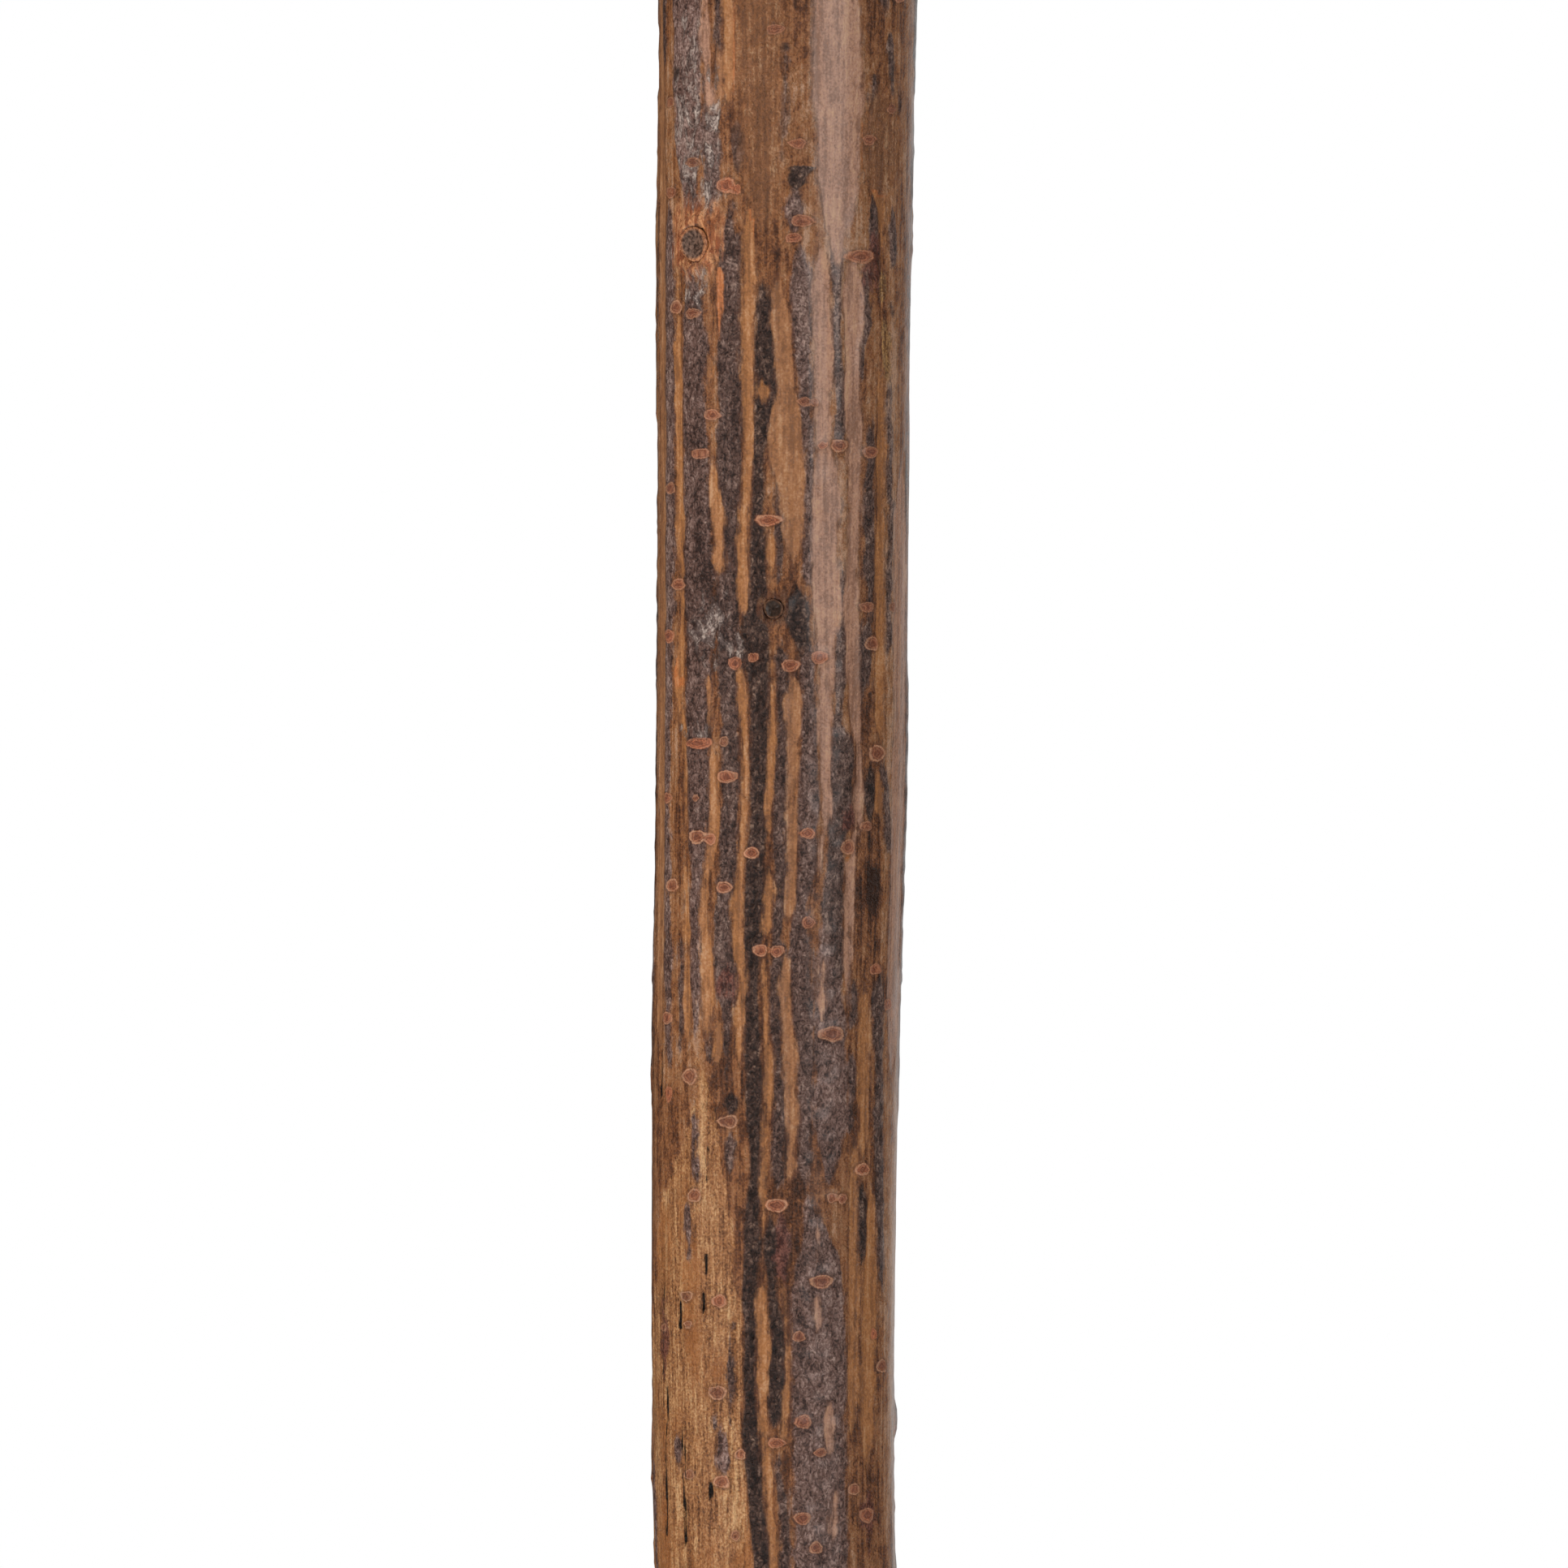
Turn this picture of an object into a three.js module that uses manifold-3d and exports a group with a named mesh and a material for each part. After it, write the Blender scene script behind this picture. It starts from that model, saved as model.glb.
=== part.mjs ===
// A root cane: one hardwood sapling dug up with its root, with the bark left on the shaft and the
// root turned over as the handle. Millimetres, +Z up along the shaft, thick end up. The origin is
// the middle of the ferrule's tread, the grip runs towards +X, and the seen side faces -Y.

import * as THREE from "three";
import { mergeVertices } from "three/addons/utils/BufferGeometryUtils.js";
import Module from "manifold-3d";

const wasm = await Module();
wasm.setup();

const gap = 0.3; // between pieces that seat on each other

// Rubber ferrule and its steel washer
const tipDiameter = 19.05; // the shaft's tip, a 3/4 inch ferrule size
const socketDepth = 33; // how far the tip goes in
const rubberFloor = 12; // rubber between the tread and the washer
const washerThickness = 1.5;
const washerPlay = 1.3; // round the washer's edge
const washerEdge = 0.3; // chamfer
const ferruleWall = 3.3;
const footFlare = 5.4; // how far the foot stands out past the wall
const footHeight = 7;
const ribRise = 6; // plain wall from the foot to the ribs
const ribHeight = 0.9;
const ribCount = 4;
const cuffHeight = 4; // plain rim above the ribs
const mouthChamfer = 0.8;
const grooveDepth = 1.6;
const grooves = [[0.27, 0.45], [0.62, 0.8]]; // the tread's rings: inner and outer share of its radius
const grooveSlope = 0.04; // width of a groove's slanted side, as a share of the tread's radius

// Shaft, measured over the bark
const shaftLength = 799; // from the ferrule's mouth to the root crown
const lowDiameter = 19.8; // just above the ferrule
const highDiameter = 29.2; // just below the crown
const barkThickness = 0.9;
const ovality = 0.006; // share of the radius
const fluting = 0.006; // share of the radius
const fluteCount = 5;
const ovalTurn = 95; // height over which the oval turns by a radian
const fluteTurn = 70; // the same for the flutes

// Natural wander of the shaft's middle: share of the shaft's length, then x and y
const wander = [
  [0, 0, 0],
  [0.1, 1.7, -0.9],
  [0.21, 4.4, -1.3],
  [0.33, 3.9, 0.4],
  [0.43, 1.1, 1.9],
  [0.494, -0.78, 2.1],
  [0.52, -1.15, 1.7],
  [0.555, -0.9, 1.2],
  [0.59, -0.35, 0.6],
  [0.64, -0.08, -0.1],
  [0.691, 0.29, -0.7],
  [0.8, 2.3, -1.8],
  [0.9, 2.2, -1.1],
  [1, 0, 0],
];

// Trimmed twigs that come through the bark: share of the shaft's length, degrees round from the
// seen side towards +X, and the radius of the cut
const knots = [
  [0.074, 64, 2.1],
  [0.156, -118, 2.4],
  [0.249, 22, 2.0],
  [0.325, 150, 2.6],
  [0.41, -78, 2.2],
  [0.512, 112, 2.5],
  [0.614, -3.5, 1.2],
  [0.66, -42.5, 1.7],
  [0.748, 168, 2.7],
  [0.824, 47, 2.8],
  [0.907, -97, 3.0],
];
const knotProud = 0.5; // above the bark
const knotRoot = 5; // into the wood
const knotTaper = 0.82; // width of the cut over the width at the wood
const knotSides = 10;

// The root, as chains of spheres from the crown's foot: x, y, height above it, radius
const crownStep = 0.3; // how far the bare crown stands out past the bark below it
const neckRadius = highDiameter / 2 + crownStep;
const grip = [
  [0, 0, -14, neckRadius],
  [0, 0, 4, neckRadius],
  [-0.5, 0.4, 22, 17.2],
  [-1, 0.8, 40, 19.6],
  [3, 0.8, 56, 19.8],
  [15, 1.8, 69, 17.8],
  [34, 2, 77, 16],
  [54, 0.2, 79, 14.9],
  [72, -1.8, 76.5, 15.3],
  [86, -2.6, 70.5, 14],
];
const heel = [
  [-1, 0.5, 54, 18],
  [-16, 1.6, 63, 14.4],
  [-29, 2.4, 69.5, 12.4],
];
const leftRootlet = [
  [1, 7, 45, 14],
  [3.5, 20, 41, 8.2],
  [4.5, 26.5, 39.5, 7.2],
];
const rightRootlet = [
  [4, -8, 56, 12],
  [9, -19, 54, 7.2],
  [11, -24.5, 53.2, 6.2],
];
const lowRootlet = [
  [-6, -5, 30, 12],
  [-15, -12, 25, 6.6],
  [-19, -15.5, 23.4, 5.6],
];
const crownRootlet = [
  [-2, 4, 58, 14],
  [-7, 13, 69, 7.4],
  [-9.5, 17.5, 74.5, 6.4],
];
const gripRootlet = [
  [50, -4, 76, 11],
  [53, -13, 70, 5],
  [54, -16, 68, 4.3],
];
const sawnRootlets = [heel, leftRootlet, rightRootlet, lowRootlet, crownRootlet, gripRootlet];
const rootBlend = 9; // how softly one root runs into the next
const rootCell = 4.2; // grid step of the root's surface
const coreRise = 10; // how far the shaft's wood is carried up inside the crown

// Radii and levels, all from the sizes above
const socketRadius = tipDiameter / 2 + gap;
const wallRadius = socketRadius + ferruleWall;
const treadRadius = wallRadius + footFlare;
const washerRadius = socketRadius - washerPlay;
const washerBottom = rubberFloor + gap;
const washerTop = washerBottom + washerThickness;
const tipBottom = washerTop + gap;
const ferruleTop = tipBottom + socketDepth;
const tipTop = ferruleTop + gap; // where the shaft starts to swell to its grown size
const crownFoot = ferruleTop + shaftLength;
const barkTop = crownFoot - gap;

const sides = 20; // of the shaft's sections
const ringStep = 30;
const roundSides = 26; // of what is turned

const turn = 2 * Math.PI;
const radians = Math.PI / 180;
const share = (low, high, value) => (value - low) / (high - low);
const mix = (low, high, t) => low + (high - low) * t;

// The shaft's middle at a height
const wanderX = new THREE.SplineCurve(wander.map(([s, x]) => new THREE.Vector2(s, x)));
const wanderY = new THREE.SplineCurve(wander.map(([s, , y]) => new THREE.Vector2(s, y)));

function along(curve, s) {
  const last = wander.length - 1;
  let i = 0;
  while (i < last - 1 && wander[i + 1][0] < s) i += 1;
  const t = THREE.MathUtils.clamp(share(wander[i][0], wander[i + 1][0], s), 0, 1);
  return curve.getPoint((i + t) / last).y;
}

function middle(z) {
  const s = THREE.MathUtils.clamp(share(ferruleTop, crownFoot, z), 0, 1);
  return new THREE.Vector2(along(wanderX, s), along(wanderY, s));
}

// Radius over the bark at a height and an angle, where the shaft is left as it grew
function grownRadius(z, angle) {
  const radius = mix(lowDiameter, highDiameter, share(ferruleTop, barkTop, z)) / 2;
  const oval = ovality * Math.cos(2 * angle + z / ovalTurn);
  const flutes = fluting * Math.cos(fluteCount * angle - z / fluteTurn);
  return radius * (1 + oval + flutes);
}

// The point at an angle round the shaft: 0 faces -Y, and a quarter turn on it faces +X
function shaftPoint(z, angle, radius) {
  const m = middle(z);
  return new THREE.Vector3(m.x + radius * Math.sin(angle), m.y - radius * Math.cos(angle), z);
}

function ring(z, radiusAt) {
  return Array.from({ length: sides }, (_, i) => {
    const angle = (i / sides) * turn;
    return shaftPoint(z, angle, radiusAt(z, angle));
  });
}

// A closed surface through rings of equal count: capped at its ends, or joined last to first
function loft(rings, joined = false) {
  const count = rings[0].length;
  const points = rings.flat();
  const faces = [];
  const bands = joined ? rings.length : rings.length - 1;
  for (let j = 0; j < bands; j += 1) {
    const low = j * count;
    const high = ((j + 1) % rings.length) * count;
    for (let i = 0; i < count; i += 1) {
      const next = (i + 1) % count;
      faces.push(low + i, low + next, high + next, low + i, high + next, high + i);
    }
  }
  if (!joined) {
    for (const [start, flip] of [[0, true], [(rings.length - 1) * count, false]]) {
      const centre = new THREE.Vector3();
      for (let i = 0; i < count; i += 1) centre.addScaledVector(points[start + i], 1 / count);
      points.push(centre);
      for (let i = 0; i < count; i += 1) {
        const a = start + i;
        const b = start + ((i + 1) % count);
        faces.push(points.length - 1, flip ? b : a, flip ? a : b);
      }
    }
  }
  return new THREE.BufferGeometry().setFromPoints(points).setIndex(faces);
}

// A profile of [radius, height] pairs turned about +Z
function turned(profile) {
  const points = profile.map(([r, z]) => new THREE.Vector2(r, z));
  return new THREE.LatheGeometry(points, roundSides).rotateX(Math.PI / 2);
}

// Joins and cuts
function solid(geometry) {
  const bare = geometry.clone();
  bare.deleteAttribute("normal");
  bare.deleteAttribute("uv");
  const merged = mergeVertices(bare, 1e-4);
  return new wasm.Manifold(
    new wasm.Mesh({
      numProp: 3,
      vertProperties: new Float32Array(merged.attributes.position.array),
      triVerts: new Uint32Array(merged.index.array),
    }),
  );
}

function geometryOf(body) {
  const mesh = body.getMesh();
  const geometry = new THREE.BufferGeometry();
  geometry.setAttribute("position", new THREE.BufferAttribute(mesh.vertProperties.slice(), 3));
  geometry.setIndex(new THREE.BufferAttribute(mesh.triVerts.slice(), 1));
  return geometry.toNonIndexed();
}

// Shaft: the sapling's wood, its bark sleeve and the knots that come through the bark
const tipChamfer = 1.2;
const shoulder = 1.4; // the slope from the tip out to the grown bark
const grownFoot = tipTop + shoulder;

const shaftSteps = Math.round((barkTop - grownFoot) / ringStep);
const grownLevels = Array.from({ length: shaftSteps + 1 }, (_, i) =>
  mix(grownFoot, barkTop, i / shaftSteps),
);

function barkRadius(z, angle) {
  return z <= tipTop ? tipDiameter / 2 : grownRadius(z, angle);
}

const woodInset = barkThickness + gap;
const woodRadius = (z, angle) => barkRadius(z, angle) - woodInset;

function makeBark() {
  const innerRadius = (z, angle) => barkRadius(z, angle) - barkThickness;
  const levels = [tipBottom + tipChamfer, tipTop, ...grownLevels];
  const outside = levels.map((z) => ring(z, barkRadius));
  const inside = levels.map((z) => ring(z, innerRadius));
  return loft([...outside, ...inside.reverse(), ring(tipBottom, innerRadius)], true);
}

function makeShaftWood() {
  const levels = [tipBottom, tipTop, ...grownLevels];
  const core = ring(crownFoot + coreRise, () => highDiameter / 2 - woodInset);
  return loft([...levels.map((z) => ring(z, woodRadius)), core]);
}

// A short tapered peg standing out of the shaft, wider by `wider` all round
function knotPeg([s, degrees, radius], wider, proud) {
  const z = mix(ferruleTop, crownFoot, s);
  const angle = degrees * radians;
  const surface = grownRadius(z, angle);
  const length = knotRoot + woodInset + proud;
  const cut = radius * knotTaper;
  const peg = new THREE.CylinderGeometry(cut + wider, radius + wider, length, knotSides);
  const outward = new THREE.Vector3(Math.sin(angle), -Math.cos(angle), 0);
  peg.applyQuaternion(new THREE.Quaternion().setFromUnitVectors(new THREE.Vector3(0, 1, 0), outward));
  const centre = shaftPoint(z, angle, surface + proud - length / 2);
  return solid(peg.translate(centre.x, centre.y, centre.z));
}

// Root: the crown with its grip, and the other roots sawn off short
function chainDistance(p, chain) {
  let best = Infinity;
  for (let i = 0; i < chain.length - 1; i += 1) {
    const [ax, ay, az, ar] = chain[i];
    const [bx, by, bz, br] = chain[i + 1];
    const a = new THREE.Vector3(ax, ay, az);
    const ab = new THREE.Vector3(bx, by, bz).sub(a);
    const t = THREE.MathUtils.clamp(p.clone().sub(a).dot(ab) / ab.lengthSq(), 0, 1);
    best = Math.min(best, a.addScaledVector(ab, t).distanceTo(p) - mix(ar, br, t));
  }
  return best;
}

// Runs one distance softly into another over a width
function softMin(a, b, width) {
  const h = Math.max(width - Math.abs(a - b), 0) / width;
  return Math.min(a, b) - (h * h * width) / 4;
}

function rootDistance(x, y, z) {
  const p = new THREE.Vector3(x, y, z);
  return [grip, ...sawnRootlets]
    .map((chain) => chainDistance(p, chain))
    .reduce((a, b) => softMin(a, b, rootBlend));
}

// The surface where a distance is zero: one vertex for each grid cell that it crosses
function surfaceOf(distance, low, high, cell) {
  const size = [0, 1, 2].map((k) => Math.ceil((high[k] - low[k]) / cell) + 1);
  const at = (i, j, k) => (k * size[1] + j) * size[0] + i;
  const corner = (i, j, k) => [low[0] + i * cell, low[1] + j * cell, low[2] + k * cell];
  const values = new Float64Array(size[0] * size[1] * size[2]);
  for (let k = 0; k < size[2]; k += 1)
    for (let j = 0; j < size[1]; j += 1)
      for (let i = 0; i < size[0]; i += 1) values[at(i, j, k)] = distance(...corner(i, j, k));

  const vertexOf = new Map();
  const points = [];
  for (let k = 0; k < size[2] - 1; k += 1)
    for (let j = 0; j < size[1] - 1; j += 1)
      for (let i = 0; i < size[0] - 1; i += 1) {
        let inside = 0;
        for (let c = 0; c < 8; c += 1) {
          if (values[at(i + (c & 1), j + ((c >> 1) & 1), k + (c >> 2))] < 0) inside += 1;
        }
        if (inside === 0 || inside === 8) continue;
        const [x, y, z] = corner(i, j, k);
        const half = cell / 2;
        vertexOf.set(at(i, j, k), points.length);
        points.push(settle(distance, new THREE.Vector3(x + half, y + half, z + half)));
      }

  const faces = [];
  const axes = [[1, 0, 0], [0, 1, 0], [0, 0, 1]];
  for (let k = 1; k < size[2] - 1; k += 1)
    for (let j = 1; j < size[1] - 1; j += 1)
      for (let i = 1; i < size[0] - 1; i += 1)
        axes.forEach(([di, dj, dk], axis) => {
          const here = values[at(i, j, k)] < 0;
          const there = values[at(i + di, j + dj, k + dk)] < 0;
          if (here === there) return;
          const u = axes[(axis + 1) % 3];
          const v = axes[(axis + 2) % 3];
          const cellPoint = (a, b) =>
            vertexOf.get(at(i - a * u[0] - b * v[0], j - a * u[1] - b * v[1], k - a * u[2] - b * v[2]));
          const quad = [cellPoint(0, 0), cellPoint(1, 0), cellPoint(1, 1), cellPoint(0, 1)];
          if (!here) quad.reverse();
          faces.push(quad[0], quad[1], quad[2], quad[0], quad[2], quad[3]);
        });
  return new THREE.BufferGeometry().setFromPoints(points).setIndex(faces);
}

// Moves a point onto the zero surface, a few steps down the slope of the distance
function settle(distance, point) {
  const h = 0.05;
  for (let step = 0; step < 6; step += 1) {
    const d = distance(point.x, point.y, point.z);
    const slope = new THREE.Vector3(
      distance(point.x + h, point.y, point.z) - distance(point.x - h, point.y, point.z),
      distance(point.x, point.y + h, point.z) - distance(point.x, point.y - h, point.z),
      distance(point.x, point.y, point.z + h) - distance(point.x, point.y, point.z - h),
    ).divideScalar(2 * h);
    point.addScaledVector(slope, -d / Math.max(slope.lengthSq(), 0.2));
  }
  return point;
}

// A block that cuts off everything past a plane
function cutter(point, normal, reach) {
  const block = new THREE.BoxGeometry(reach, reach, reach).translate(0, 0, reach / 2);
  block.applyQuaternion(new THREE.Quaternion().setFromUnitVectors(new THREE.Vector3(0, 0, 1), normal));
  return solid(block.translate(point.x, point.y, point.z));
}

function makeRoot() {
  const spheres = [grip, ...sawnRootlets].flat();
  const margin = 2 * rootCell;
  const low = [0, 1, 2].map((k) => Math.min(...spheres.map((s) => s[k] - s[3])) - margin);
  const high = [0, 1, 2].map((k) => Math.max(...spheres.map((s) => s[k] + s[3])) + margin);
  let body = solid(surfaceOf(rootDistance, low, high, rootCell));
  for (const chain of sawnRootlets) {
    const end = new THREE.Vector3(...chain.at(-1).slice(0, 3));
    const before = new THREE.Vector3(...chain.at(-2).slice(0, 3));
    const reach = 4 * chain.at(-1)[3];
    body = body.subtract(cutter(end, end.clone().sub(before).normalize(), reach));
  }
  const down = new THREE.Vector3(0, 0, -1);
  body = body.subtract(cutter(new THREE.Vector3(), down, 4 * neckRadius));
  return body.translate([0, 0, crownFoot]);
}

let barkBody = solid(makeBark());
let woodBody = solid(makeShaftWood()).add(makeRoot());
for (const knot of knots) {
  woodBody = woodBody.add(knotPeg(knot, 0, knotProud));
  barkBody = barkBody.subtract(knotPeg(knot, gap, knotProud + barkThickness));
}

// Ferrule: a ribbed rubber cup on a wide foot with grooved tread
function makeFerrule() {
  const profile = [[0, 0]];
  const slope = grooveSlope * treadRadius;
  for (const [inner, outer] of grooves) {
    const from = inner * treadRadius;
    const to = outer * treadRadius;
    profile.push([from, 0], [from + slope, grooveDepth], [to - slope, grooveDepth], [to, 0]);
  }
  const ribsFrom = footHeight + ribRise;
  const pitch = (ferruleTop - cuffHeight - ribsFrom) / ribCount;
  profile.push([treadRadius - 0.8, 0]);
  profile.push([treadRadius, 1]);
  profile.push([treadRadius - 0.3, footHeight - 2]);
  profile.push([treadRadius - 1.4, footHeight - 0.5]);
  profile.push([wallRadius + 1.4, footHeight + 2.5]);
  profile.push([wallRadius + 0.3, ribsFrom]);
  for (let i = 0; i < ribCount; i += 1) {
    const z = ribsFrom + i * pitch;
    profile.push([wallRadius + ribHeight, z + 0.3 * pitch]);
    profile.push([wallRadius + ribHeight, z + 0.65 * pitch]);
    profile.push([wallRadius, z + 0.9 * pitch]);
  }
  profile.push([wallRadius + 0.4, ferruleTop - 0.6 * cuffHeight]);
  profile.push([wallRadius + 0.2, ferruleTop - mouthChamfer]);
  profile.push([wallRadius - mouthChamfer, ferruleTop]);
  profile.push([socketRadius + mouthChamfer, ferruleTop]);
  profile.push([socketRadius, ferruleTop - mouthChamfer]);
  profile.push([socketRadius, rubberFloor]);
  profile.push([0, rubberFloor]);
  return turned(profile);
}

function makeWasher() {
  return turned([
    [0, washerBottom],
    [washerRadius - washerEdge, washerBottom],
    [washerRadius, washerBottom + washerEdge],
    [washerRadius, washerTop - washerEdge],
    [washerRadius - washerEdge, washerTop],
    [0, washerTop],
  ]);
}

const finish = (color, roughness, metalness = 0) =>
  new THREE.MeshStandardMaterial({ color, roughness, metalness });
const barkFinish = finish(0x6b4a35, 0.5);
const woodFinish = finish(0x8f5a2c, 0.35);
const steelFinish = finish(0x9a9da0, 0.35, 1);
const rubberFinish = finish(0x1d1c1b, 0.85);

const cane = new THREE.Group();

function place(name, geometry, material, group = cane) {
  const mesh = new THREE.Mesh(geometry, material);
  mesh.name = name;
  group.add(mesh);
}

place("cane_wood", geometryOf(woodBody), woodFinish);
place("shaft_bark", geometryOf(barkBody), barkFinish);

const tip = new THREE.Group();
cane.add(tip);
place("rubber_ferrule", makeFerrule(), rubberFinish, tip);
place("ferrule_washer", makeWasher(), steelFinish, tip);

export default cane;
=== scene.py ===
"""Looks of a root cane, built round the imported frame: streaked natural bark, root handle, ferrule.

Lengths are millimetres, and become metres where a mesh or the camera is made. The floor and the
lamps are in metres. Angles round the shaft are measured from the seen side, which faces -Y,
towards +X.
"""

import itertools
import math

import bmesh
import bpy
import numpy as np
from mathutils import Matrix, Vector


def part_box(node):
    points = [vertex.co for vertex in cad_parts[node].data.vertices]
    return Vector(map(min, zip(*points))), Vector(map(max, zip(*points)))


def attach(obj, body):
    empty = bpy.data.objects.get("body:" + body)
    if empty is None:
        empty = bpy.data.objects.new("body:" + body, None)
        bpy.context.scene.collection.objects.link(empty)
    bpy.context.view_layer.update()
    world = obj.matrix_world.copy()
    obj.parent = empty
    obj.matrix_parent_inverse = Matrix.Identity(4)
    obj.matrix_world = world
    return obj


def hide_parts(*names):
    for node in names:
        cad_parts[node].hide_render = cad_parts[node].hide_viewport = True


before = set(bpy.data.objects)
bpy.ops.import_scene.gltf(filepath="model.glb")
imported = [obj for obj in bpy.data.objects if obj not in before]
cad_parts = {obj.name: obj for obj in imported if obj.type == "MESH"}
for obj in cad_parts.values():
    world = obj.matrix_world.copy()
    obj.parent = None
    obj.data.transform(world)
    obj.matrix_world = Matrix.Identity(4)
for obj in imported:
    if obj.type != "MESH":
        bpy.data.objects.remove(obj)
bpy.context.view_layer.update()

MM = 0.001
TURN = 2 * math.pi

# The photograph's frame: pixels, and the height above the ground at its middle
PHOTO_PIXELS = 1932
PHOTO_MIDDLE = PHOTO_PIXELS / 2
PIXELS_PER_MM = 12.16
PHOTO_HEIGHT = 520.0
PHOTO_SPAN = PHOTO_PIXELS / PIXELS_PER_MM
PHOTO_LOW = PHOTO_HEIGHT - PHOTO_SPAN / 2
PHOTO_HIGH = PHOTO_HEIGHT + PHOTO_SPAN / 2
CAMERA_DISTANCE = 2000.0
SENSOR_WIDTH = 36.0

# What the photograph shows is found on the shaft in a few rounds, from a first guess of how much
# nearer the bark is than the shaft's middle, and no nearer its edge than this sine
FIRST_NEARER = 10.0
EDGE_SINE = 0.998

# Tones of a tan strip and of a dark strip, from 0 to 1
PINK, TAN, AMBER, ORANGE, BROWN = 0.0, 0.25, 0.5, 0.75, 1.0
GREY, SLATE, CHARCOAL, BLACK = 0.0, 0.3, 0.6, 1.0

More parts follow.
